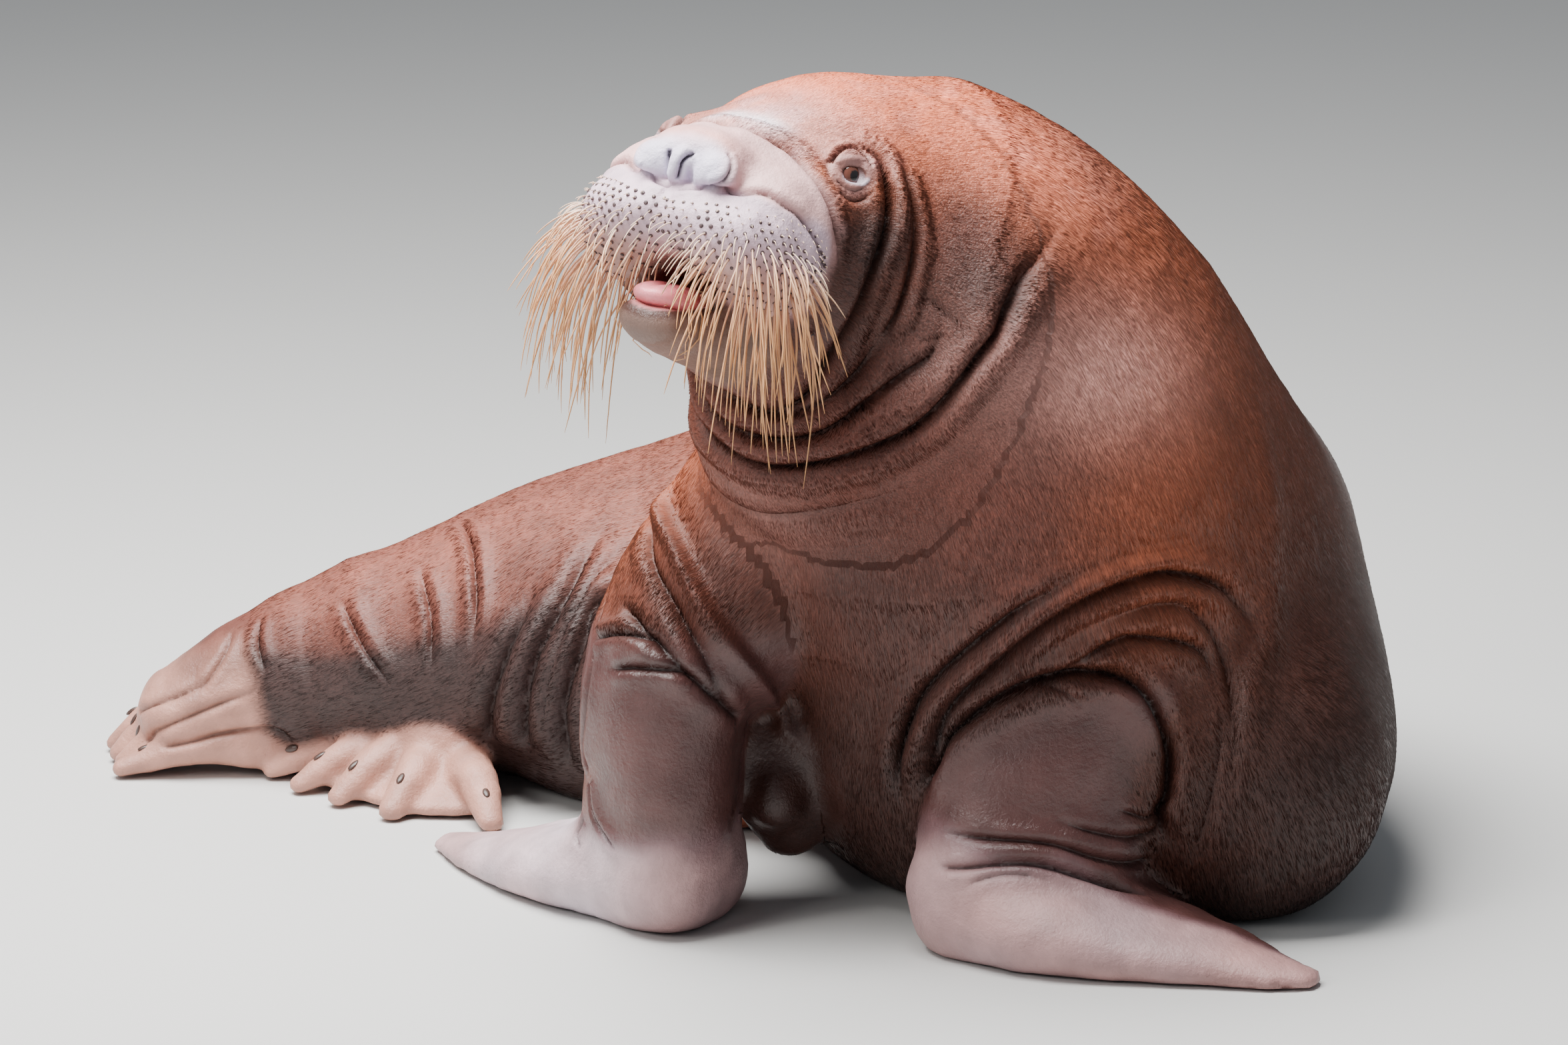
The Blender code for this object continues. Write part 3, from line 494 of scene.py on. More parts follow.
@dataclass(frozen=True)
class EyeSocket:
    """Place, facing and lids of the eyes, in the head's axes."""

    radius: float = 0.018
    place: tuple = (0.085, 0.132, 0.038)
    facing: tuple = (0.40, 0.90, 0.12)
    slit: tuple = (0.0155, 0.0098)
    upper_lid: tuple = ((-0.016, 0.006, 0.000, 0.007), (-0.010, 0.018, 0.004, 0.0110),
                        (0.001, 0.022, 0.006, 0.0125), (0.011, 0.018, 0.004, 0.0110),
                        (0.017, 0.006, 0.000, 0.007))
    lower_lid: tuple = ((-0.016, -0.006, 0.003, 0.005), (-0.009, -0.0135, 0.005, 0.006),
                        (0.004, -0.0150, 0.005, 0.006), (0.015, -0.007, 0.003, 0.005))

    def centre(self, side: Side) -> Array:
        """Return the eyeball's centre in the head's axes."""
        sunk = (0, 0.008, 0.008) if side is Side.RIGHT else (0, 0, 0)
        return (np.array(self.place) - sunk) * (1, side.value, 1)

    def axes(self, side: Side) -> Array:
        """Return rows: fore, rise and facing of the eye, in the head's axes."""
        facing = unit(np.array(self.facing) * (1, side.value, 1))
        fore = unit(np.array([1.0, 0, 0]) - facing * facing[0])
        return np.stack([fore, np.cross(fore, facing) * side.value, facing])

    def in_head(self, points: Array, side: Side) -> Array:
        """Return fore, rise and facing places as places in the head's axes."""
        return self.centre(side) + np.asarray(points, float) @ self.axes(side)

    def forms(self, side: Side) -> list[Sweep]:
        """Return the upper and the lower lid."""
        sweeps = []
        for lid in (self.upper_lid, self.lower_lid):
            rows = np.array(lid) * (1.0 if side is Side.LEFT else 0.86)
            arc = np.hstack([self.in_head(rows[:, :3], side), rows[:, 3:], rows[:, 3:]])
            sweeps.append(Sweep(arc, 0.007, 9, where=Place.HEAD))
        return sweeps

    def opening(self, side: Side) -> Sweep:
        """Return the hollow that opens the lids."""
        reach = self.slit[0] * 0.35
        ends = self.in_head([(-reach, 0, self.radius), (reach, 0, self.radius)], side)
        rows = [(*end, self.slit[1], self.radius * 1.2) for end in ends]
        return Sweep(rows, 0.003, 4, up=self.axes(side)[2], where=Place.HEAD)


@dataclass(frozen=True)
class Skull:
    """Skull, snout, cheeks, nose, whisker pads, jaw and mouth, in the head's axes."""

    eye: EyeSocket = EyeSocket()

    def cranium(self) -> list[Sweep]:
        """Return the head's sweeps without the pads and the jaw."""
        sweeps = [
            Sweep([(-0.12, 0.01, -0.004, 0.172, 0.160), (-0.05, 0, -0.006, 0.166, 0.148),
                   (0.05, 0, -0.010, 0.142, 0.108)], 0.05, 5, where=Place.HEAD),
            Sweep([(0.07, 0, 0.025, 0.090, 0.060), (0.14, 0, 0.018, 0.075, 0.050),
                   (0.195, 0, 0.008, 0.066, 0.042)], 0.04, 5, where=Place.HEAD)]
        for side in Side:
            s = side.value
            sweeps += [
                Sweep([(0.10, 0.080 * s, -0.030, 0.068, 0.070),
                       (0.16, 0.078 * s, -0.030, 0.066, 0.060)], 0.025, 3, where=Place.HEAD),
                Sweep([(0.03, 0.10 * s, -0.07, 0.085, 0.12),
                       (0.09, 0.10 * s, -0.085, 0.070, 0.09)], 0.04, 3, where=Place.HEAD),
                Sweep([(0.225, 0.042 * s, -0.001, 0.029, 0.026)], 0.009, depth=0.033,
                      where=Place.HEAD),
                Sweep([(0.060, 0.100 * s, 0.030, 0.045, 0.042)], 0.03, where=Place.HEAD)]
            sweeps += self.eye.forms(side)
        sweeps.append(Sweep([(0.205, 0, 0.022, 0.058, 0.028)], 0.02, depth=0.040, where=Place.HEAD))
        sweeps.append(Sweep([(0.232, -0.004, 0.002, 0.013, 0.027)], 0.006, depth=0.024, where=Place.HEAD))
        return sweeps

    def pad(self, side: Side) -> Sweep:
        """Return the whisker pad of one side."""
        s = side.value
        return Sweep([(0.150, 0.104 * s, -0.082, 0.062, 0.068), (0.192, 0.072 * s, -0.076, 0.076, 0.060),
                      (0.208, 0.026 * s, -0.066, 0.066, 0.044)], 0.014, 5, depth=0.054,
                     where=Place.HEAD)

    def jaw(self) -> Sweep:
        """Return the lower jaw."""
        return Sweep([(0.0, 0, -0.14, 0.130, 0.105), (0.10, 0, -0.162, 0.095, 0.078),
                      (0.17, 0, -0.184, 0.066, 0.050), (0.225, 0, -0.192, 0.044, 0.030)],
                     0.03, 8, where=Place.HEAD)

    def mouth(self) -> Sweep:
        """Return the hollow of the open mouth."""
        return Sweep([(0.12, 0, -0.142, 0.040, 0.018), (0.21, 0, -0.146, 0.052, 0.026),
                      (0.32, 0, -0.146, 0.062, 0.034)], 0.01, 6, where=Place.HEAD)

    def forms(self) -> list[Sweep]:
        """Return every sweep of the head."""
        return self.cranium() + [self.pad(side) for side in Side] + [self.jaw()]


TRUNK = Trunk()
SKULL = Skull()


# Folds and wrinkles

@dataclass(frozen=True)
class Crease:
    """A fold line: a groove between two soft rolls."""

    name: str
    points: tuple
    depth: float
    width: float
    roll: float = 0.5
    # How dark the shade painted along the groove's bottom is.
    dark: float = 0.8
    ends: tuple = (0.15, 0.15)
    where: Place = Place.BODY
    sides: tuple = (1, -1)

    def paths(self) -> list[Array]:
        """Return the line's points in the body's axes, once for each of its sides."""
        rows = np.array(self.points, float)
        if self.where is Place.BODY:
            return [rows]
        if self.where is Place.EYE:
            return [HEAD.place(SKULL.eye.in_head(rows, side)) for side in Side]
        return [HEAD.place(rows * (1, side, 1)) for side in self.sides]


def face_crease(name: str, points: tuple, depth: float, width: float, roll: float = 0.5,
                dark: float = 0.6, ends: tuple = (0.15, 0.15)) -> Crease:
    """Return a fold of the face, in the head's axes, on both sides."""
    return Crease(name, points, depth, width, roll, dark, ends, Place.HEAD)


FACE_CREASES = (
    face_crease("orbital_groove", ((0.166, -0.012, 0.064), (0.16, 0.02, 0.066), (0.148, 0.062, 0.058),
        (0.14, 0.088, 0.048), (0.138, 0.118, 0.026), (0.132, 0.144, 0.002), (0.124, 0.16, -0.028),
        (0.11, 0.17, -0.06)), 0.0110, 0.0080, 0.5, 0.8),
    face_crease("pad_crease", ((0.252, 0.004, -0.028), (0.246, 0.056, -0.02), (0.214, 0.1, -0.012),
        (0.2, 0.128, -0.02), (0.18, 0.142, -0.03), (0.156, 0.16, -0.056), (0.136, 0.164, -0.078),
        (0.122, 0.166, -0.11)), 0.0060, 0.0048, 0.5, 0.7, (0.03, 0.2)),
    Crease("nostril_left", ((0.247, 0.013, 0.019), (0.253, 0.008, 0.003), (0.247, 0.001, -0.022)),
        0.0100, 0.0034, 0.3, 1.4, (0.2, 0.12), Place.HEAD, (1,)),
    Crease("nostril_right", ((0.249, -0.022, 0.017), (0.247, -0.017, -0.002), (0.242, -0.016, -0.023)),
        0.0100, 0.0034, 0.3, 1.4, (0.2, 0.12), Place.HEAD, (1,)),
    face_crease("nose_side", ((0.232, 0.048, 0.024), (0.236, 0.064, 0.014), (0.246, 0.066, -0.006),
        (0.250, 0.046, -0.019)), 0.0055, 0.0032, 0.5, 0.7),
    face_crease("socket_rear", ((0.086, 0.136, 0.088), (0.074, 0.152, 0.086), (0.064, 0.172, 0.068),
        (0.062, 0.196, 0.0), (0.064, 0.194, -0.064), (0.058, 0.178, -0.126), (0.04, 0.142, -0.2),
        (0.03, 0.11, -0.24), (0.022, 0.06, -0.258)), 0.0170, 0.0075, 0.5, 1.0, (0.12, 0.15)),
    face_crease("ear_fold", ((0.046, 0.184, 0.076), (0.034, 0.216, 0.008), (0.026, 0.22, -0.048),
        (0.024, 0.22, -0.108), (0.022, 0.204, -0.152)), 0.0100, 0.0060, 0.6, 0.8),
    face_crease("cheek_line", ((0.132, 0.146, 0.004), (0.116, 0.168, -0.048), (0.108, 0.172, -0.08)),
        0.0040, 0.0050, 0.6, 0.4, (0.3, 0.3)),
    face_crease("mouth_corner", ((0.164, 0.07, -0.148), (0.14, 0.098, -0.148), (0.11, 0.118, -0.14)),
        0.0080, 0.0060, 0.5, 1.0, (0.02, 0.5)),
)

EYE_CREASES = (
    Crease("lid_fold", ((-0.024, 0.002, 0.0), (-0.020, 0.020, 0.0), (-0.007, 0.035, 0.0),
        (0.009, 0.035, 0.0), (0.021, 0.022, 0.0), (0.026, 0.006, 0.0)),
        0.0075, 0.0032, 0.3, 1.3, (0.2, 0.1), Place.EYE),
    Crease("lower_lid_fold", ((-0.023, -0.010, 0.0), (-0.011, -0.021, 0.0), (0.004, -0.024, 0.0),
        (0.018, -0.016, 0.0), (0.024, -0.004, 0.0)), 0.0026, 0.0028, 0.4, 0.5, (0.3, 0.3), Place.EYE),
    Crease("eye_bag", ((-0.030, -0.022, 0.0), (-0.015, -0.034, 0.0), (0.004, -0.038, 0.0),
        (0.022, -0.030, 0.0)), 0.0034, 0.0042, 0.5, 0.4, (0.3, 0.3), Place.EYE),
)

NECK_CREASES = (
    Crease("chin_fold", ((-0.12, -0.03, 0.735), (-0.1, -0.075, 0.715), (-0.045, -0.14, 0.69),
        (0.015, -0.17, 0.69), (0.09, -0.185, 0.735), (0.13, -0.19, 0.79)), 0.0100, 0.0085, 0.6),
    Crease("throat_high", ((-0.13, 0.04, 0.76), (-0.125, -0.03, 0.71), (-0.05, -0.14, 0.66),
        (0.055, -0.185, 0.67), (0.16, -0.2, 0.745), (0.185, -0.195, 0.775), (0.19, -0.19, 0.815)),
        0.0130, 0.0090, 0.6),
    Crease("throat_deep", ((-0.1, 0.12, 0.83), (-0.14, 0.04, 0.72), (-0.13, -0.04, 0.67),
        (-0.085, -0.1, 0.645), (0.0, -0.17, 0.62), (0.145, -0.205, 0.665), (0.22, -0.205, 0.745),
        (0.285, -0.165, 0.845), (0.31, -0.135, 0.88), (0.335, -0.085, 0.915)), 0.0180, 0.0100, 0.6,
        1.0, (0.2, 0.22)),
    Crease("chest_ring", ((-0.12, 0.03, 0.6), (-0.085, -0.045, 0.555), (-0.035, -0.11, 0.54),
        (0.02, -0.155, 0.55), (0.13, -0.2, 0.585), (0.215, -0.22, 0.625)), 0.0060, 0.0130, 0.6, 0.3,
        (0.25, 0.4)),
    Crease("nape_fold", ((0.235, -0.195, 0.765), (0.255, -0.19, 0.795), (0.26, -0.175, 0.825),
        (0.29, -0.135, 0.885)), 0.0080, 0.0110, 0.6, 0.5, (0.3, 0.4)),
    Crease("neck_roll", ((0.15, -0.19, 0.85), (0.185, -0.19, 0.83), (0.215, -0.195, 0.8),
        (0.205, -0.2, 0.77)), 0.0050, 0.0120, 0.6, 0.3, (0.4, 0.4)),
)

SHOULDER_CREASES = (
    Crease("arc_outer", ((0.15, -0.095, 0.16), (0.145, -0.105, 0.24), (0.18, -0.145, 0.34),
        (0.27, -0.195, 0.44), (0.35, -0.2, 0.49), (0.385, -0.195, 0.5)), 0.0150, 0.0085, 0.7, 1.0,
        (0.2, 0.35)),
    Crease("arc_middle", ((0.175, -0.125, 0.215), (0.21, -0.15, 0.32), (0.32, -0.195, 0.435),
        (0.44, -0.175, 0.485), (0.53, -0.125, 0.465), (0.57, -0.09, 0.43), (0.59, -0.08, 0.395),
        (0.59, -0.09, 0.34)), 0.0160, 0.0085, 0.7, 1.0, (0.1, 0.3)),
    Crease("arc_inner", ((0.335, -0.18, 0.37), (0.4, -0.175, 0.4), (0.44, -0.165, 0.405),
        (0.51, -0.13, 0.385), (0.53, -0.12, 0.355), (0.535, -0.13, 0.31)), 0.0100, 0.0075, 0.6, 0.8,
        (0.15, 0.35)),
    Crease("arc_soft", ((0.365, -0.185, 0.425), (0.415, -0.175, 0.44), (0.465, -0.16, 0.445),
        (0.5, -0.135, 0.435), (0.545, -0.11, 0.375), (0.555, -0.135, 0.29), (0.545, -0.15, 0.24)),
        0.0070, 0.0085, 0.7, 0.4, (0.3, 0.3)),
    Crease("arm_top", ((0.17, -0.12, 0.19), (0.18, -0.135, 0.225), (0.19, -0.14, 0.24),
        (0.215, -0.15, 0.285), (0.28, -0.17, 0.34), (0.37, -0.175, 0.365), (0.44, -0.16, 0.34),
        (0.475, -0.15, 0.27), (0.475, -0.155, 0.205), (0.465, -0.15, 0.175), (0.475, -0.14, 0.13)),
        0.0190, 0.0095, 0.6, 1.0, (0.08, 0.1)),
    Crease("arm_small", ((0.315, -0.175, 0.345), (0.345, -0.175, 0.34), (0.37, -0.175, 0.32)), 0.0040,
        0.0055, 0.6, 0.3, (0.3, 0.3)),
    Crease("flank_fold_one", ((0.53, -0.12, 0.365), (0.54, -0.135, 0.29), (0.53, -0.155, 0.205),
        (0.515, -0.145, 0.135), (0.5, -0.125, 0.085)), 0.0060, 0.0110, 0.6, 0.2, (0.4, 0.3)),
    Crease("flank_fold_two", ((0.57, -0.1, 0.38), (0.555, -0.15, 0.22), (0.545, -0.15, 0.15)), 0.0060,
        0.0120, 0.6, 0.2, (0.4, 0.4)),
    Crease("flank_ridge", ((0.59, 0.02, 0.7), (0.615, -0.04, 0.51), (0.615, -0.05, 0.44),
        (0.605, -0.07, 0.385), (0.585, -0.11, 0.33), (0.565, -0.14, 0.265), (0.55, -0.15, 0.2)),
        -0.0100, 0.0260, 0.3, 0.0, (0.4, 0.4)),
    Crease("elbow_one", ((0.41, -0.17, 0.19), (0.445, -0.16, 0.175), (0.46, -0.155, 0.18)), 0.0050,
        0.0050, 0.6, 0.6, (0.4, 0.1)),
    Crease("elbow_two", ((0.33, -0.2, 0.19), (0.355, -0.2, 0.175), (0.425, -0.165, 0.15),
        (0.465, -0.15, 0.155)), 0.0060, 0.0055, 0.6, 0.6, (0.4, 0.05)),
    Crease("wrist_one", ((0.18, -0.165, 0.16), (0.24, -0.2, 0.16), (0.325, -0.21, 0.155),
        (0.39, -0.19, 0.13), (0.43, -0.16, 0.115), (0.46, -0.14, 0.11)), 0.0080, 0.0055, 0.6, 0.7,
        (0.25, 0.05)),
    Crease("wrist_two", ((0.185, -0.19, 0.12), (0.225, -0.21, 0.125), (0.31, -0.215, 0.13),
        (0.39, -0.205, 0.105), (0.46, -0.18, 0.08)), 0.0095, 0.0060, 0.6, 0.8, (0.1, 0.05)),
    Crease("wrist_three", ((0.22, -0.22, 0.105), (0.28, -0.225, 0.12), (0.35, -0.22, 0.105)), 0.0055,
        0.0050, 0.6, 0.5, (0.2, 0.5)),
)

BREAST_CREASES = (
    Crease("breast_ridge", ((-0.15, 0.12, 0.56), (-0.16, 0.07, 0.525), (-0.155, 0.01, 0.51),
        (-0.14, -0.035, 0.49), (-0.1, -0.1, 0.425), (-0.05, -0.1, 0.355), (-0.01, -0.03, 0.28),
        (0.01, 0.02, 0.225), (0.035, 0.015, 0.185)), -0.0100, 0.0110, 0.6, 0.0, (0.15, 0.2)),
    Crease("breast_groove", ((-0.175, 0.07, 0.515), (-0.17, -0.025, 0.475), (-0.13, -0.095, 0.42),
        (-0.08, -0.115, 0.33), (-0.06, -0.09, 0.29)), 0.0080, 0.0085, 0.6, 0.7, (0.15, 0.1)),
    Crease("arm_seam", ((-0.215, -0.02, 0.425), (-0.16, -0.1, 0.385), (-0.09, -0.12, 0.32),
        (-0.05, -0.07, 0.275)), 0.0120, 0.0085, 0.5, 1.0, (0.25, 0.05)),
    Crease("elbow_high", ((-0.24, 0.0, 0.355), (-0.215, -0.045, 0.38), (-0.175, -0.09, 0.385),
        (-0.16, -0.1, 0.385)), 0.0085, 0.0060, 0.7, 0.9, (0.2, 0.1)),
    Crease("elbow_low", ((-0.22, -0.06, 0.335), (-0.19, -0.095, 0.35), (-0.135, -0.12, 0.35),
        (-0.11, -0.12, 0.34)), 0.0085, 0.0060, 0.7, 0.9, (0.25, 0.1)),
    Crease("right_wrist", ((-0.245, -0.035, 0.185), (-0.235, -0.055, 0.145), (-0.22, -0.085, 0.12),
        (-0.205, -0.1, 0.11)), 0.0070, 0.0045, 0.6, 1.0, (0.1, 0.35)),
    Crease("right_palm", ((-0.25, -0.01, 0.13), (-0.26, 0.0, 0.105), (-0.255, -0.02, 0.09)), 0.0045,
        0.0040, 0.6, 0.8, (0.1, 0.3)),
    Crease("arm_inside", ((-0.22, 0.055, 0.435), (-0.23, 0.015, 0.395), (-0.24, -0.015, 0.35),
        (-0.245, -0.025, 0.29), (-0.255, -0.01, 0.225), (-0.245, -0.03, 0.19)), 0.0070, 0.0070, 0.6,
        0.5, (0.3, 0.1)),
)

HIND_CREASES = (
    Crease("loose_skin_one", ((-0.19, 0.3, 0.44), (-0.215, 0.35, 0.38), (-0.23, 0.4, 0.33),
        (-0.25, 0.425, 0.29), (-0.265, 0.405, 0.245), (-0.29, 0.405, 0.155), (-0.28, 0.44, 0.05)),
        0.0120, 0.0110, 0.7, 0.6),
    Crease("loose_skin_two", ((-0.23, 0.55, 0.38), (-0.265, 0.485, 0.34), (-0.285, 0.455, 0.3),
        (-0.31, 0.435, 0.255), (-0.33, 0.43, 0.21), (-0.345, 0.445, 0.11), (-0.345, 0.45, 0.06)),
        0.0130, 0.0120, 0.7, 0.7, (0.35, 0.15)),
    Crease("loose_skin_three", ((-0.2, 0.5, 0.4), (-0.26, 0.44, 0.31), (-0.305, 0.415, 0.205),
        (-0.32, 0.43, 0.095)), 0.0080, 0.0100, 0.7, 0.4, (0.4, 0.2)),
    Crease("groin_fold", ((-0.335, 0.49, 0.305), (-0.34, 0.47, 0.275), (-0.38, 0.46, 0.18),
        (-0.395, 0.495, 0.085)), 0.0120, 0.0120, 0.7, 0.7, (0.35, 0.1)),
    Crease("thigh_line", ((-0.445, 0.73, 0.345), (-0.42, 0.625, 0.33), (-0.41, 0.53, 0.28),
        (-0.415, 0.485, 0.205)), 0.0060, 0.0060, 0.9, 0.4, (0.3, 0.3)),
    Crease("thigh_second", ((-0.49, 0.64, 0.3), (-0.485, 0.605, 0.29), (-0.47, 0.535, 0.245),
        (-0.47, 0.505, 0.17)), 0.0060, 0.0065, 0.8, 0.4, (0.4, 0.3)),
    Crease("shank_line", ((-0.595, 0.63, 0.25), (-0.59, 0.61, 0.245), (-0.56, 0.555, 0.2),
        (-0.52, 0.525, 0.15)), 0.0065, 0.0065, 0.8, 0.4, (0.3, 0.3)),
    Crease("ankle_high", ((-0.705, 0.675, 0.22), (-0.71, 0.63, 0.19), (-0.695, 0.6, 0.15)), 0.0050,
        0.0055, 0.8, 0.4, (0.4, 0.3)),
    Crease("ankle_low", ((-0.745, 0.68, 0.2), (-0.755, 0.64, 0.17), (-0.78, 0.625, 0.13),
        (-0.805, 0.63, 0.125)), 0.0045, 0.0050, 0.8, 0.4, (0.3, 0.3)),
    Crease("toe_gap_one", ((-0.695, 0.595, 0.13), (-0.73, 0.605, 0.12), (-0.84, 0.62, 0.07),
        (-0.865, 0.645, 0.045)), 0.0060, 0.0055, 0.6, 0.6, (0.4, 0.05)),
    Crease("toe_gap_two", ((-0.66, 0.605, 0.04), (-0.68, 0.6, 0.07), (-0.72, 0.61, 0.07),
        (-0.76, 0.615, 0.065), (-0.8, 0.61, 0.055), (-0.845, 0.615, 0.045)), 0.0060, 0.0055, 0.6, 0.6,
        (0.2, 0.1)),
    Crease("toe_gap_three", ((-0.78, 0.62, 0.13), (-0.85, 0.635, 0.1), (-0.875, 0.665, 0.08)), 0.0050,
        0.0055, 0.6, 0.6, (0.3, 0.1)),
)
CREASES = FACE_CREASES + EYE_CREASES + NECK_CREASES + SHOULDER_CREASES + BREAST_CREASES + HIND_CREASES


class Relief:
    """Every fold pressed into the skin."""

    def __init__(self, creases: Sequence[Crease], surface: Field) -> None:
        """Lay each line on the surface.

        Args:
            creases: the fold lines.
            surface: the field that they lie on.
        """
        self.lines = []
        for crease in creases:
            for path in crease.paths():
                steps = max(8, int(np.linalg.norm(np.diff(path, axis=0), axis=1).sum() / 0.007))
                line = surface.settle(along_curve(path, steps), 4)
                self.lines.append((crease, line))

    def press(self, points: Array, normals: Array) -> tuple[Array, Array]:
        """Move of the skin at the folds, and the shade painted along their bottoms.

        Args:
            points: N x 3 places on the smooth skin.
            normals: N x 3 outward normals.

        Returns:
            N x 3 moves in metres and N painted shades from 0 to 1.
        """
        move = np.zeros((len(points), 3))
        shade = np.zeros(len(points))
        for crease, line in self.lines:
            margin = crease.width * 5
            close = np.flatnonzero(((points > line.min(axis=0) - margin)
                                    & (points < line.max(axis=0) + margin)).all(axis=1))
            if not len(close):
                continue
            offset = points[close][:, None, :] - line[None, :, :]
            k = (offset ** 2).sum(axis=2).argmin(axis=1)
            tangent = unit(np.gradient(line, axis=0))[k]
            gap = offset[np.arange(len(close)), k]
            run = (gap * tangent).sum(axis=1)
            beyond = np.where((k == 0) | (k == len(line) - 1), run, 0.0)
            gap = gap - tangent * (run - beyond)[:, None]
            near = np.linalg.norm(gap, axis=1) / crease.width
            t = k / (len(line) - 1)
            fade = smooth(0, crease.ends[0], t) * smooth(0, crease.ends[1], 1 - t)
            if crease.depth > 0:
                groove = np.exp(-1.3 * near)
                pinch = 0.45 * fade * np.exp(-near ** 2 / 2)
            else:
                groove = np.exp(-near ** 2)
                pinch = 0.0 * fade
            swell = (near / 2.1) ** 2 * np.exp(1 - (near / 2.1) ** 2)
            height = crease.depth * fade * (crease.roll * swell - groove)
            move[close] += normals[close] * height[:, None] - gap * pinch[:, None]
            # Painted shade along the groove's bottom; where folds meet, the darkest is kept.
            shade[close] = np.maximum(shade[close], crease.dark * fade * np.exp(-(near * 1.1) ** 2))
        return move, shade


# Mesh helpers

def new_object(name: str, mesh: bpy.types.Mesh) -> bpy.types.Object:
    """Return a new object of the mesh, linked to the scene."""
    made = bpy.data.objects.new(name, mesh)
    bpy.context.scene.collection.objects.link(made)
    return made


def drop(obj: bpy.types.Object) -> None:
    """Remove an object and its mesh."""
    mesh = obj.data
    bpy.data.objects.remove(obj)
    bpy.data.meshes.remove(mesh)


def apply_modifiers(obj: bpy.types.Object) -> None:
    """Turn what the modifiers make into the object's own mesh."""
    bpy.context.view_layer.update()
    graph = bpy.context.evaluated_depsgraph_get()
    made = bpy.data.meshes.new_from_object(obj.evaluated_get(graph))
    old = obj.data
    obj.modifiers.clear()
    obj.data = made
    made.name = obj.name
    bpy.data.meshes.remove(old)


def read_points(mesh: bpy.types.Mesh) -> Array:
    """Return the mesh's vertex places."""
    flat = np.empty(len(mesh.vertices) * 3)
    mesh.vertices.foreach_get("co", flat)
    return flat.reshape(-1, 3)


def write_points(mesh: bpy.types.Mesh, points: Array) -> None:
    """Move the mesh's vertices."""
    mesh.vertices.foreach_set("co", np.ascontiguousarray(points, np.float64).ravel())
    mesh.update()


def read_normals(mesh: bpy.types.Mesh) -> Array:
    """Return the mesh's vertex normals."""
    flat = np.empty(len(mesh.vertices) * 3, np.float32)
    mesh.vertex_normals.foreach_get("vector", flat)
    return flat.reshape(-1, 3).astype(float)


def add_colour(mesh: bpy.types.Mesh, name: str, values: Array) -> None:
    """Store a colour at each vertex.

    Args:
        mesh: the mesh.
        name: the attribute's name.
        values: N x 3 linear colours.
    """
    layer = mesh.attributes.new(name, "FLOAT_COLOR", "POINT")
    rgba = np.ones((len(values), 4), np.float32)
    rgba[:, :3] = values
    layer.data.foreach_set("color", rgba.ravel())


def add_number(mesh: bpy.types.Mesh, name: str, values: Array) -> None:
    """Store one number at each vertex."""
    layer = mesh.attributes.new(name, "FLOAT", "POINT")
    layer.data.foreach_set("value", np.ascontiguousarray(values, np.float32))


def add_vector(mesh: bpy.types.Mesh, name: str, values: Array) -> None:
    """Store one vector at each vertex."""
    layer = mesh.attributes.new(name, "FLOAT_VECTOR", "POINT")
    layer.data.foreach_set("vector", np.ascontiguousarray(values, np.float32).ravel())


def mesh_from_arrays(name: str, points: Array, faces: Array) -> bpy.types.Mesh:
    """Join many small shapes in one mesh.

    Args:
        name: the mesh's name.
        points: N x 3 places.
        faces: M x 3 or M x 4 vertex numbers.

    Returns:
        The mesh.
    """
    mesh = bpy.data.meshes.new(name)
    mesh.vertices.add(len(points))
    mesh.vertices.foreach_set("co", np.ascontiguousarray(points, np.float32).ravel())
    corners = faces.shape[1]
    mesh.loops.add(faces.size)
    mesh.loops.foreach_set("vertex_index", np.ascontiguousarray(faces, np.int32).ravel())
    mesh.polygons.add(len(faces))
    mesh.polygons.foreach_set("loop_start", np.arange(len(faces), dtype=np.int32) * corners)
    mesh.update(calc_edges=True)
    return mesh


def finish_piece(obj: bpy.types.Object, material: bpy.types.Material,
                 nodes: Sequence[str] = (), smooth_shaded: bool = True) -> None:
    """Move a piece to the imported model's origin, dress it and hand it over.

    Args:
        obj: the piece.
        material: its finish.
        nodes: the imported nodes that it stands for.
        smooth_shaded: whether its faces are shaded as one surface.
    """
    obj.data.transform(Matrix.Translation(-Vector(ORIGIN)))
    obj.data.materials.clear()
    obj.data.materials.append(material)
    if smooth_shaded:
        obj.data.shade_smooth()
    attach(obj, "root")
    if nodes:
        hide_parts(*nodes)
    LOG.info("%s: %d faces", obj.name, len(obj.data.polygons))


# Finishes

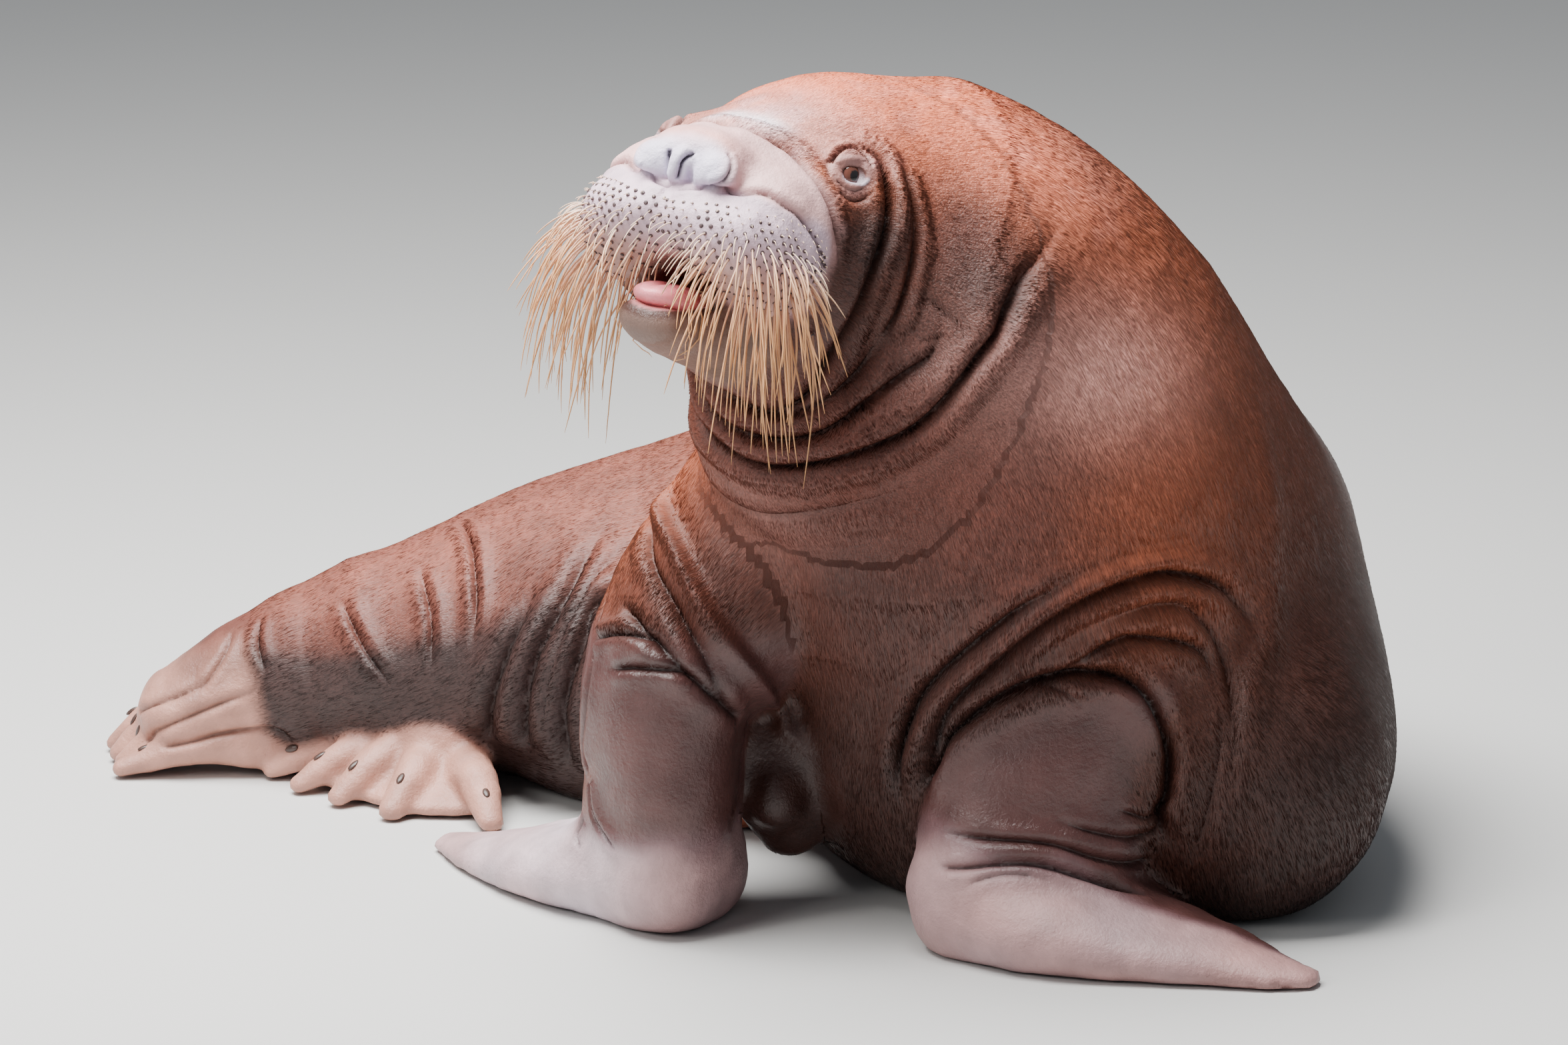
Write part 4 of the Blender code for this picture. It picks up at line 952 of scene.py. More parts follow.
class Shader:
    """A material under construction, with short ways to add and join nodes."""

    def __init__(self, name: str, roughness: float = 0.5) -> None:
        """Start a material with one Principled shader.

        Args:
            name: the material's name.
            roughness: its roughness where no pattern drives it.
        """
        self.material = bpy.data.materials.new(name)
        self.material.use_nodes = True
        self.tree = self.material.node_tree
        self.base = self.tree.nodes["Principled BSDF"]
        self.base.inputs["Roughness"].default_value = roughness

    def node(self, kind: str, links: dict | None = None, **settings: object) -> bpy.types.Node:
        """Add a node.

        Args:
            kind: the node's type.
            links: socket name or number to a value or to another node's output.
            settings: attributes to set on it.

        Returns:
            The node.
        """
        made = self.tree.nodes.new(kind)
        for key, value in settings.items():
            setattr(made, key, value)
        for key, value in (links or {}).items():
            if isinstance(value, bpy.types.NodeSocket):
                self.tree.links.new(value, made.inputs[key])
            else:
                made.inputs[key].default_value = value
        return made

    def attribute(self, name: str, output: str = "Fac") -> bpy.types.NodeSocket:
        """Return an output of a vertex attribute."""
        return self.node("ShaderNodeAttribute", attribute_name=name).outputs[output]

    def noise(self, vector: bpy.types.NodeSocket | None, scale: float, detail: float = 2.0,
              rough: float = 0.5) -> bpy.types.NodeSocket:
        """Return a noise pattern's strength.

        Args:
            vector: coordinates, or None for the object's own.
            scale: cells in each metre.
            detail: octaves.
            rough: strength of the finer octaves.

        Returns:
            The pattern's output.
        """
        source = vector or self.node("ShaderNodeTexCoord").outputs["Object"]
        made = self.node("ShaderNodeTexNoise", {"Vector": source, "Scale": scale, "Detail": detail,
                                                "Roughness": rough})
        return made.outputs["Fac"]

    def spread(self, value: bpy.types.NodeSocket, low: float, high: float, to_low: float,
               to_high: float) -> bpy.types.NodeSocket:
        """Map a range of numbers onto another.

        Args:
            value: the numbers.
            low: start of their range.
            high: end of their range.
            to_low: what the start becomes.
            to_high: what the end becomes.

        Returns:
            The mapped numbers.
        """
        made = self.node("ShaderNodeMapRange", {"Value": value, "From Min": low, "From Max": high,
                                                "To Min": to_low, "To Max": to_high})
        return made.outputs["Result"]

    def scale_colour(self, colour: bpy.types.NodeSocket,
                     factor: bpy.types.NodeSocket) -> bpy.types.NodeSocket:
        """Return the colour, brightened or darkened by a factor."""
        made = self.node("ShaderNodeVectorMath", {0: colour, "Scale": factor}, operation="SCALE")
        return made.outputs[0]

    def bump(self, height: bpy.types.NodeSocket, distance: float, strength: float = 1.0,
             normal: bpy.types.NodeSocket | None = None) -> bpy.types.NodeSocket:
        """Return a bumped normal.

        Args:
            height: the relief, from 0 to 1.
            distance: its height in metres.
            strength: its share.
            normal: a normal to build on.

        Returns:
            The normal.
        """
        links = {"Height": height, "Distance": distance, "Strength": strength}
        if normal is not None:
            links["Normal"] = normal
        return self.node("ShaderNodeBump", links).outputs["Normal"]

    def join(self, socket: str, value: bpy.types.NodeSocket) -> None:
        """Drive one of the shader's sockets."""
        self.tree.links.new(value, self.base.inputs[socket])


@dataclass(frozen=True)
class SkinFinish:
    """Skin with short fur where it isn't bare."""

    streak: float = 420.0
    wrinkle: float = 150.0
    fur_height: float = 0.0016
    bare_height: float = 0.0019

    def material(self) -> bpy.types.Material:
        """Build the finish from the skin's tint, strand, bare and gloss attributes."""
        shader = Shader("walrus_skin", 0.5)
        tint = shader.attribute("Tint", "Color")
        strand = shader.attribute("Strand", "Vector")
        bare = shader.attribute("Bare")
        streaks = shader.noise(strand, self.streak, 3.0, 0.6)
        blotch = shader.noise(None, 26.0, 3.0, 0.55)
        wrinkles = shader.noise(None, self.wrinkle, 4.0, 0.65)
        streak_shade = shader.spread(streaks, 0.32, 0.68, 0.62, 1.42)
        blotch_shade = shader.spread(blotch, 0.3, 0.7, 0.86, 1.14)
        flat = shader.node("ShaderNodeMix", {"Factor": bare, "A": streak_shade, "B": 1.0})
        both = shader.node("ShaderNodeMath", {0: flat.outputs["Result"], 1: blotch_shade},
                           operation="MULTIPLY")
        shader.join("Base Color", shader.scale_colour(tint, both.outputs[0]))
        furry = shader.node("ShaderNodeMath", {0: 1.0, 1: bare}, operation="SUBTRACT")
        fur = shader.node("ShaderNodeMath", {0: streaks, 1: furry.outputs[0]}, operation="MULTIPLY")
        hide = shader.node("ShaderNodeMath", {0: wrinkles, 1: bare}, operation="MULTIPLY")
        normal = shader.bump(hide.outputs[0], self.bare_height)
        shader.join("Normal", shader.bump(fur.outputs[0], self.fur_height, normal=normal))
        shader.join("Roughness", shader.attribute("Rough"))
        shader.base.inputs["Specular IOR Level"].default_value = 0.45
        return shader.material


@dataclass(frozen=True)
class CoatFinish:
    """Tufts of short hair."""

    def material(self) -> bpy.types.Material:
        """Build the finish from each tuft's own tint."""
        shader = Shader("walrus_coat", 0.48)
        shader.join("Base Color", shader.attribute("Tint", "Color"))
        shader.base.inputs["Specular IOR Level"].default_value = 0.28
        return shader.material


@dataclass(frozen=True)
class BristleFinish:
    """Translucent straw-coloured whiskers with dark roots."""

    def material(self) -> bpy.types.Material:
        """Build the finish from the whiskers' tint."""
        shader = Shader("whisker", 0.38)
        shader.join("Base Color", shader.attribute("Tint", "Color"))
        shader.base.inputs["Subsurface Weight"].default_value = 0.15
        shader.base.inputs["Subsurface Radius"].default_value = (0.003, 0.0015, 0.0008)
        return shader.material


@dataclass(frozen=True)
class FollicleFinish:
    """Dark skin round the root of a whisker."""

    colour: tuple = (0.070, 0.042, 0.045)

    def material(self) -> bpy.types.Material:
        """Build the finish."""
        shader = Shader("follicle", 0.55)
        shade = shader.spread(shader.noise(None, 400.0), 0.3, 0.7, 0.7, 1.4)
        colour = shader.node("ShaderNodeRGB")
        colour.outputs[0].default_value = (*self.colour, 1.0)
        shader.join("Base Color", shader.scale_colour(colour.outputs[0], shade))
        return shader.material


@dataclass(frozen=True)
class EyeFinish:
    """Dark pupil, reddish-brown iris and a wet gloss."""

    def material(self) -> bpy.types.Material:
        """Build the finish from the angle away from the gaze."""
        shader = Shader("eyeball", 0.06)
        ring = shader.attribute("Ring")
        fibres = shader.noise(None, 900.0, 3.0, 0.7)
        mottled = shader.node("ShaderNodeMath", {0: shader.spread(fibres, 0.3, 0.7, -0.03, 0.03),
                                                 1: ring}, operation="ADD")
        ramp = shader.node("ShaderNodeValToRGB", {"Fac": mottled.outputs[0]})
        stops = ((0.0, (0.006, 0.004, 0.004)), (0.23, (0.008, 0.005, 0.005)),
                 (0.27, (0.11, 0.036, 0.022)), (0.52, (0.16, 0.055, 0.038)),
                 (0.60, (0.04, 0.014, 0.012)), (0.72, (0.12, 0.050, 0.045)), (1.0, (0.10, 0.03, 0.03)))
        while len(ramp.color_ramp.elements) < len(stops):
            ramp.color_ramp.elements.new(0.5)
        for element, (position, colour) in zip(ramp.color_ramp.elements, stops):
            element.position = position
            element.color = (*colour, 1.0)
        shader.join("Base Color", ramp.outputs["Color"])
        shader.base.inputs["Coat Weight"].default_value = 1.0
        shader.base.inputs["Coat Roughness"].default_value = 0.03
        return shader.material


@dataclass(frozen=True)
class TongueFinish:
    """Moist pink tongue with fine papillae."""

    def material(self) -> bpy.types.Material:
        """Build the finish."""
        shader = Shader("tongue", 0.32)
        blotch = shader.noise(None, 60.0, 3.0)
        shade = shader.spread(blotch, 0.3, 0.7, 0.85, 1.15)
        shader.join("Base Color", shader.scale_colour(shader.attribute("Tint", "Color"), shade))
        shader.join("Normal", shader.bump(shader.noise(None, 700.0, 2.0), 0.0006))
        shader.base.inputs["Subsurface Weight"].default_value = 0.25
        shader.base.inputs["Subsurface Radius"].default_value = (0.012, 0.004, 0.003)
        return shader.material


@dataclass(frozen=True)
class NailFinish:
    """Small dark horn nails."""

    def material(self) -> bpy.types.Material:
        """Build the finish."""
        shader = Shader("nail", 0.35)
        grain = shader.noise(None, 300.0, 2.0)
        ramp = shader.node("ShaderNodeValToRGB", {"Fac": grain})
        ramp.color_ramp.elements[0].color = (0.030, 0.018, 0.015, 1.0)
        ramp.color_ramp.elements[1].color = (0.090, 0.050, 0.040, 1.0)
        shader.join("Base Color", ramp.outputs["Color"])
        shader.join("Normal", shader.bump(grain, 0.0003))
        return shader.material


@dataclass(frozen=True)
class Palette:
    """Colours of skin and coat, linear."""

    back: tuple = (0.320, 0.084, 0.038)
    # Orange of the crown, partly its own colour and partly painted light from above on the top of the
    # head.
    crown_top_light: tuple = (0.640, 0.165, 0.080)
    temple: tuple = (0.420, 0.200, 0.175)
    # Painted sheen: a lilac-grey, wet-looking reflection.
    painted_veil_sheen: tuple = (0.640, 0.500, 0.560)
    # Painted sheen: pale, wet-looking highlight.
    painted_sheen: tuple = (0.700, 0.360, 0.310)
    # Painted highlight along the brow ridge.
    ridge: tuple = (0.880, 0.820, 0.900)
    # Red-brown of the chest, partly its own colour and partly painted shade.
    chest: tuple = (0.110, 0.034, 0.025)
    # Painted shade: undersides, the flank away from the light, under the chin and in hollows.
    low: tuple = (0.032, 0.011, 0.008)
    # Painted shade at the bottoms of the folds.
    fold: tuple = (0.014, 0.006, 0.005)
    arm: tuple = (0.082, 0.035, 0.032)
    palm: tuple = (0.350, 0.230, 0.235)
    palm_mid: tuple = (0.170, 0.095, 0.100)
    palm_bright: tuple = (0.540, 0.460, 0.510)
    palm_pink: tuple = (0.440, 0.220, 0.195)
    muzzle: tuple = (0.680, 0.400, 0.390)
    nose: tuple = (0.620, 0.600, 0.760)
    cheek: tuple = (0.075, 0.026, 0.019)
    pad: tuple = (0.600, 0.440, 0.520)
    pad_low: tuple = (0.520, 0.310, 0.250)
    jaw: tuple = (0.170, 0.105, 0.080)
    lip: tuple = (0.720, 0.300, 0.300)
    fringe: tuple = (0.060, 0.020, 0.015)
    gum: tuple = (0.330, 0.055, 0.055)
    lid: tuple = (0.300, 0.150, 0.135)
    rim: tuple = (0.430, 0.360, 0.410)
    hips: tuple = (0.120, 0.036, 0.025)
    # Painted light on the top of the hips.
    hips_top_light: tuple = (0.210, 0.068, 0.046)
    toe: tuple = (0.460, 0.230, 0.175)
    shadow: tuple = (0.024, 0.013, 0.012)


class SkinColours:
    """Where each colour lies on the skin."""

    def __init__(self, palette: Palette) -> None:
        """Keep the palette and the sweeps that the colours follow."""
        self.palette = palette
        self.spine = TRUNK.backbone()
        self.arms = {Side.LEFT: Field(LEFT_ARM.forms()), Side.RIGHT: Field(RIGHT_ARM.forms())}
        self.feet = Field(LEFT_FOOT.forms() + RIGHT_FOOT.forms() + TailStub().forms())
        self.mouth = SKULL.mouth()
        self.pads = Field([SKULL.pad(side) for side in Side])
        self.jaw = Field([SKULL.jaw()])
        self.slits = {side: SKULL.eye.opening(side) for side in Side}

    def paint(self, points: Array, shade: Array) -> tuple[Array, Array, Array]:
        """Colour, with painted light and shade in it, bareness and roughness at each point of the skin.

        Args:
            points: N x 3 places.
            shade: how much shade is painted at each point, along the bottoms of the folds.

        Returns:
            N x 3 linear colours, N bareness values and N roughness values.
        """
        tones = {name: np.array(value) for name, value in vars(self.palette).items()}
        place, centre, axes, half = self.spine.foot(points)
        run = place / (len(self.spine.centre) - 1)
        rise = (axes[:, 2] * (points - centre)).sum(axis=1) / half[:, 2]
        head = HEAD.within(points)
        height = points[:, 2]
        bare = np.zeros(len(points))
        rough = np.full(len(points), 0.50)

        def lay(base: Array, name: str, share: Array) -> Array:
            return base * (1 - share[:, None]) + tones[name] * share[:, None]

        def patch(where: Array, middle: tuple, size: tuple) -> Array:
            return np.exp(-(((where - middle) / size) ** 2).sum(axis=1))

        cloud = lattice_noise(points * 7, 13)
        tint = np.tile(tones["back"], (len(points), 1))
        # The chest's darker red-brown on the front below the shoulders: partly its own colour, partly
        # painted shade on the front, which faces away from the light above.
        front = smooth(0.12, -0.16, points[:, 1]) * smooth(0.48, 0.28, points[:, 0])
        tint = lay(tint, "chest", 0.85 * front * smooth(0.95, 0.75, height))
        # Painted shade: darker towards the ground, on the flank behind the left forelimb, away from the
        # light, and under the chin.
        tint = lay(tint, "low", smooth(0.64, 0.20, height) * smooth(0.35, 0.6, run) * 0.92)
        tint = lay(tint, "low", smooth(0.42, 0.68, points[:, 0]) * 0.75)
        tint = lay(tint, "low", patch(points, (0.15, -0.19, 0.80), (0.15, 0.13, 0.10)) * 0.65)
        # Painted sheen on the left shoulder, on the chest and on the nape.
        tint = lay(tint, "painted_sheen", patch(points, (0.40, -0.165, 0.74), (0.14, 0.13, 0.09)) * 0.66)
        tint = lay(tint, "painted_sheen", patch(points, (-0.02, -0.10, 0.54), (0.08, 0.08, 0.08)) * 0.18)
        tint = lay(tint, "painted_sheen", patch(points, (0.34, -0.02, 0.98), (0.13, 0.12, 0.06)) * 0.35)
        # The hips' own brown, with painted light on the top band and painted shadow on the lower half.
        back = smooth(0.44, 0.16, run)
        high = rise + 0.12 * cloud
        tint = lay(tint, "hips", back * 0.95)
        tint = lay(tint, "hips_top_light", back * smooth(0.66, 1.02, high) * 0.85)
        tint = lay(tint, "shadow", back * smooth(0.66, 0.34, high) * 0.88)

        on_head = smooth(-0.32, -0.08, head[:, 0])
        sideways = np.abs(head[:, 1])
        # The crown's orange, laid only on the top of the head: partly its own colour, partly painted
        # light from above.
        tint = lay(tint, "crown_top_light", on_head * smooth(0.02, 0.12, head[:, 2]) * 0.9)
        near_eye = (head * (1, 0, 1) + np.stack([0 * sideways, sideways, 0 * sideways], axis=1))
        socket = patch(near_eye, (0.072, 0.165, -0.035), (0.030, 0.06, 0.050))
        # Painted sheen: a blotchy lilac-grey veil over the top of the head, strongest at the front.
        painted_veil_sheen = lattice_noise(points * 20, 41) + 0.8 * lattice_noise(points * 62, 42)
        painted_veil_sheen = smooth(-0.1, 0.9, painted_veil_sheen) * smooth(-0.02, 0.08, head[:, 2]) * on_head
        tint = lay(tint, "painted_veil_sheen", painted_veil_sheen * (0.07 + 0.42 * smooth(0.04, 0.12, head[:, 0])))
        tint = lay(tint, "cheek", patch(near_eye, (0.042, 0.20, -0.01), (0.022, 0.06, 0.07)) * 0.75)
        tint = lay(tint, "chest", patch(near_eye, (-0.01, 0.25, 0.00), (0.055, 0.09, 0.09)) * 0.70)
        # Painted shade in two patches: on the neck below the back of the head, and on the chest.
        tint = lay(tint, "low", patch(points, (0.25, -0.17, 0.86), (0.09, 0.09, 0.07)) * 0.70)
        tint = lay(tint, "low", patch(points, (0.09, -0.16, 0.45), (0.11, 0.10, 0.10)) * 0.45)
        tint = lay(tint, "temple", smooth(0.02, 0.09, head[:, 0]) * smooth(0.03, 0.06, head[:, 2]) * 0.6)
        tint = lay(tint, "cheek", smooth(0.03, 0.07, head[:, 0]) * smooth(0.02, -0.03, head[:, 2]) * 0.9)
        # Painted shade in the hollow behind the eye.
        tint = lay(tint, "low", np.clip(socket * 1.4, 0, 1) * 0.84)
        border = 0.170 - 0.30 * sideways - head[:, 0] + 0.006 * lattice_noise(points * 40, 15)
        muzzle = smooth(0.014, -0.012, border) * smooth(0.12, 0.085, head[:, 2])
        pads, _ = self.pads.measure(points)
        pad = smooth(0.010, 0.001, pads) * smooth(0.06, 0.11, head[:, 0])
        jaw, _ = self.jaw.measure(points)
        jaw = smooth(0.010, 0.0, jaw) * smooth(0.02, 0.09, head[:, 0]) * (1 - pad)
        tint = lay(tint, "muzzle", muzzle)
        nose = smooth(0.070, 0.045, np.linalg.norm((head - (0.25, 0, 0.0)) / (0.8, 1.15, 0.75), axis=1))
        tint = lay(tint, "nose", nose * 0.9)
        tint = lay(tint, "crown_top_light", patch(head, (0.225, 0, 0.036), (0.03, 0.05, 0.014)) * 0.5)
        # Painted highlight: a pale band along the brow ridge above the muzzle.
        tint = lay(tint, "ridge", patch(near_eye, (0.132, 0.025, 0.084), (0.015, 0.045, 0.018)) * 0.75)
        edge = np.exp(-((border + 0.002) / 0.012) ** 2) * smooth(0.04, -0.04, head[:, 2])
        tint = lay(tint, "cheek", edge * muzzle * 0.5)
        tint = lay(tint, "pad", pad)
        tint = lay(tint, "pad_low", pad * smooth(-0.075, -0.125, head[:, 2]) * 0.9)
        tint = lay(tint, "jaw", jaw * 0.95)
        in_eye = (near_eye - np.array(SKULL.eye.place)) @ SKULL.eye.axes(Side.LEFT).T
        eye = np.linalg.norm(in_eye, axis=1)
        tint = lay(tint, "lid", smooth(0.040, 0.028, eye) * 0.8)
        slit = np.min([self.slits[side].measure(points)[0] for side in Side], axis=0)
        edge_of_lid = smooth(0.0034, 0.0012, slit) * smooth(-0.0035, -0.0010, slit)
        tint = lay(tint, "rim", edge_of_lid * smooth(0.002, -0.005, in_eye[:, 1]))
        tint = lay(tint, "gum", smooth(-0.0010, -0.0035, slit) * 0.7)
        tint = lay(tint, "cheek", smooth(0.0022, 0.0006, slit) * smooth(0.0, 0.006, in_eye[:, 1]) * 0.7)
        hollow, _ = self.mouth.measure(points)
        rim = smooth(0.0050, 0.0020, hollow) * jaw * smooth(0.12, 0.16, head[:, 0])
        fringe = smooth(0.020, 0.010, hollow) * jaw * smooth(0.14, 0.18, head[:, 0])
        tint = lay(tint, "fringe", fringe * 0.9)
        tint = lay(tint, "lip", rim * 0.9)
        gum = smooth(0.003, -0.002, hollow) * on_head
        tint = lay(tint, "gum", gum)
        bare = np.maximum.reduce([bare, muzzle, pad, jaw * 0.8, gum, smooth(0.034, 0.026, eye)])
        rough = rough * (1 - muzzle) + 0.46 * muzzle
        rough = rough * (1 - gum) + 0.28 * gum

        body, _ = self.spine.measure(points)
        breast = patch(points, (0.0, 0.02, 0.16), (0.10, 0.12, 0.11))
        # Painted shade on the breast between the forelimbs.
        tint = lay(tint, "low", np.clip(breast * 1.3, 0, 0.95))
        bare = np.maximum(bare, smooth(0.3, 0.7, breast))
        rough = rough * (1 - breast) + 0.34 * breast
        for side, limb in self.arms.items():
            value, _ = limb.measure(points)
            top = 0.36 if side is Side.LEFT else 0.40
            arm = smooth(0.012, 0.0, value) * smooth(top + 0.02, top - 0.05, height + 0.015 * cloud)
            strand, _ = (LEFT_ARM if side is Side.LEFT else RIGHT_ARM).palm_sweep().strand(points)
            border = height - 0.118 + 0.014 * lattice_noise(points * 20, 3)
            if side is Side.LEFT:
                out = smooth(0.06, 0.20, strand[:, 0])
                border = border + out * (0.062 + 1.3 * strand[:, 1])
                border = border - 0.030 * smooth(0.26, 0.20, points[:, 0])
            pale = smooth(0.012, -0.026, border)
            tint = lay(tint, "arm", arm)
            tint = lay(tint, "palm_mid", arm * smooth(0.034, 0.0, border) * 0.9)
            tint = lay(tint, "palm", arm * pale)
            if side is Side.RIGHT:
                tint = lay(tint, "palm_bright", arm * pale * smooth(-0.13, -0.24, points[:, 0]) * 0.9)
            warm = 0.35 + 0.5 * lattice_noise(points * 12, 5) + smooth(0.28, 0.42, strand[:, 0])
            tint = lay(tint, "palm_pink", arm * pale * np.clip(warm, 0, 1) * 0.6)
            bare = np.maximum(bare, arm)
            rough = rough * (1 - arm) + (0.27 + 0.18 * pale) * arm
        feet, _ = self.feet.measure(points)
        foot = smooth(0.010, 0.0, feet) * smooth(0.0, 0.03, body + 0.012)
        tint = lay(tint, "hips", foot * 0.5)
        tips = np.array(LEFT_FOOT.toe_tips + RIGHT_FOOT.toe_tips)
        reach = np.sqrt(((points[:, None] - tips[None]) ** 2).sum(axis=2).min(axis=1))
        tint = lay(tint, "toe", foot * smooth(0.22, 0.10, reach))
        bare = np.maximum(bare, foot)
        bare = np.maximum(bare, 0.30 * smooth(0.34, 0.20, run))
        rough = rough * (1 - foot) + 0.45 * foot

        mottle = 1 + 0.13 * lattice_noise(points * 9, 11) + 0.12 * lattice_noise(points * 34, 12)
        tint = tint * mottle[:, None]
        # Painted shade along the bottoms of the folds.
        tint = lay(tint, "fold", np.clip(shade, 0, 1) * 0.75 * (1 - gum))
        return np.clip(tint, 0.003, 0.9), np.clip(bare, 0, 1), rough


# Pieces

@dataclass
class Skin:
    """One closed skin over the whole animal."""

    voxel: float = 0.0105
    coat_depth: float = 0.004
    surface: Field = field(init=False)
    relief: Relief = field(init=False)
    obj: bpy.types.Object = field(init=False)

    def __post_init__(self) -> None:
        """Gather the forms and lay the folds on them."""
        forms = TRUNK.forms()
        for limb in (LEFT_ARM, RIGHT_ARM, LEFT_FOOT, RIGHT_FOOT, TailStub()):
            forms += limb.forms()
        forms += SKULL.forms()
        hollows = [SKULL.mouth()] + [SKULL.eye.opening(side) for side in Side]
        self.surface = Field(forms, hollows)
        self.relief = Relief(CREASES, Field(forms))

    def wrap(self) -> bpy.types.Object:
        """Return a first even skin over the forms."""
        form = bmesh.new()
        for sweep in self.surface.forms:
            for centre, axes, half in zip(sweep.centre, sweep.axes, sweep.half):
                place = (Matrix.Translation(centre) @ Matrix(axes.T.tolist()).to_4x4()
                         @ Matrix.Diagonal((*half, 1)))
                bmesh.ops.create_icosphere(form, subdivisions=2, radius=1.02, matrix=place)
        mesh = bpy.data.meshes.new("walrus_skin")
        form.to_mesh(mesh)
        form.free()
        obj = new_object("walrus_skin", mesh)
        wrap = obj.modifiers.new("Wrap", "REMESH")
        wrap.mode = "VOXEL"
        wrap.voxel_size = self.voxel
        apply_modifiers(obj)
        return obj

    def open_mouth(self, obj: bpy.types.Object) -> None:
        """Cut the mouth's hollow out of the skin."""
        hollow = SKULL.mouth()
        form = bmesh.new()
        for centre, axes, half in zip(hollow.centre, hollow.axes, hollow.half):
            place = (Matrix.Translation(centre) @ Matrix(axes.T.tolist()).to_4x4()
                     @ Matrix.Diagonal((*half, 1)))
            bmesh.ops.create_icosphere(form, subdivisions=3, radius=1.0, matrix=place)
        mesh = bpy.data.meshes.new("mouth_hollow")
        form.to_mesh(mesh)
        form.free()
        cutter = new_object("mouth_hollow", mesh)
        skin = cutter.modifiers.new("Wrap", "REMESH")
        skin.mode = "VOXEL"
        skin.voxel_size = 0.006
        apply_modifiers(cutter)
        cut = obj.modifiers.new("Mouth", "BOOLEAN")
        cut.operation = "DIFFERENCE"
        cut.solver = "MANIFOLD"
        cut.object = cutter
        apply_modifiers(obj)
        drop(cutter)

    def wanted(self, points: Array) -> Array:
        """Longest edge that the skin may have at each point."""
        head = HEAD.within(points)
        size = np.full(len(points), 0.0150)
        reach = np.linalg.norm(head - (0.09, 0, -0.05), axis=1)
        size = np.minimum(size, 0.0068 + 0.06 * np.maximum(reach - 0.22, 0))
        front = np.linalg.norm(head - (0.215, 0, -0.06), axis=1)
        size = np.minimum(size, 0.0036 + 0.05 * np.maximum(front - 0.11, 0))
        for side in Side:
            eye = np.linalg.norm(head - SKULL.eye.centre(side), axis=1)
            size = np.minimum(size, 0.0018 + 0.06 * np.maximum(eye - 0.034, 0))
            nose = np.linalg.norm(head - (0.245, 0.034 * side.value, 0.0), axis=1)
            size = np.minimum(size, 0.0022 + 0.06 * np.maximum(nose - 0.040, 0))
        for crease, line in self.relief.lines:
            margin = crease.width * 2.5
            close = np.flatnonzero(((points > line.min(axis=0) - margin)
                                    & (points < line.max(axis=0) + margin)).all(axis=1))
            if len(close):
                far = np.sqrt(((points[close][:, None] - line[None]) ** 2).sum(axis=2).min(axis=1))
                fine = max(0.0032, crease.width * 0.55)
                size[close] = np.minimum(size[close], fine + 0.5 * np.maximum(far - margin * 0.6, 0))
        tips = np.array(LEFT_FOOT.toe_tips + RIGHT_FOOT.toe_tips)
        toes = np.sqrt(((points[:, None] - tips[None]) ** 2).sum(axis=2).min(axis=1))
        return np.minimum(size, 0.0060 + 0.05 * np.maximum(toes - 0.16, 0))

    def refine(self, obj: bpy.types.Object) -> None:
        """Split edges that are longer than wanted."""
        for _ in range(4):
            points = read_points(obj.data)
            wanted = self.wanted(points)
            form = bmesh.new()
            form.from_mesh(obj.data)
            form.edges.ensure_lookup_table()
            ends = np.empty(len(obj.data.edges) * 2, np.int32)
            obj.data.edges.foreach_get("vertices", ends)
            ends = ends.reshape(-1, 2)
            length = np.linalg.norm(points[ends[:, 0]] - points[ends[:, 1]], axis=1)
            long = np.flatnonzero(length > 1.35 * np.minimum(wanted[ends[:, 0]], wanted[ends[:, 1]]))
            if len(long) < 50:
                form.free()
                break
            bmesh.ops.subdivide_edges(form, edges=[form.edges[i] for i in long.tolist()], cuts=1,
                                      use_grid_fill=True)
            bmesh.ops.triangulate(form, faces=[f for f in form.faces if len(f.verts) > 4])
            form.to_mesh(obj.data)
            form.free()

    def ease(self, obj: bpy.types.Object, rounds: int, factor: float = 0.5) -> None:
        """Even the vertices out."""
        soft = obj.modifiers.new("Ease", "SMOOTH")
        soft.factor = factor
        soft.iterations = rounds
        apply_modifiers(obj)

    def build(self, colours: SkinColours) -> None:
        """Make the skin, press the folds in and colour it."""
        obj = self.wrap()
        write_points(obj.data, self.surface.settle(read_points(obj.data), 2))
        self.ease(obj, 2)
        write_points(obj.data, self.surface.settle(read_points(obj.data), 2))
        self.open_mouth(obj)
        self.refine(obj)
        LOG.info("skin: %d vertices", len(obj.data.vertices))
        for _ in range(2):
            self.ease(obj, 2, 0.4)
            write_points(obj.data, self.surface.settle(read_points(obj.data), 2))
        base = self.surface.settle(read_points(obj.data), 2, most=0.006)
        _, normals = self.surface.measure(base)
        normals = unit(normals)
        move, shade = self.relief.press(base, normals)
        tint, bare, rough = colours.paint(base, shade)
        sunk = self.coat_depth * (1 - bare) + 0.0005
        wrinkle = 0.0011 * lattice_noise(base * 55, 21) + 0.0020 * lattice_noise(base * 21, 22)
        points = base + move + normals * (wrinkle * (0.35 + 0.65 * bare) - sunk)[:, None]
        low = 0.004
        points[:, 2] = low * np.logaddexp(0, points[:, 2] / low) + 0.0004
        write_points(obj.data, points)
        add_colour(obj.data, "Tint", tint)
        add_number(obj.data, "Bare", bare)
        add_number(obj.data, "Rough", rough)
        strand, lie = self.strands(base)
        add_vector(obj.data, "Strand", strand)
        self.obj = obj
        self.base, self.tint, self.bare, self.lie, self.shade = base, tint, bare, lie, shade

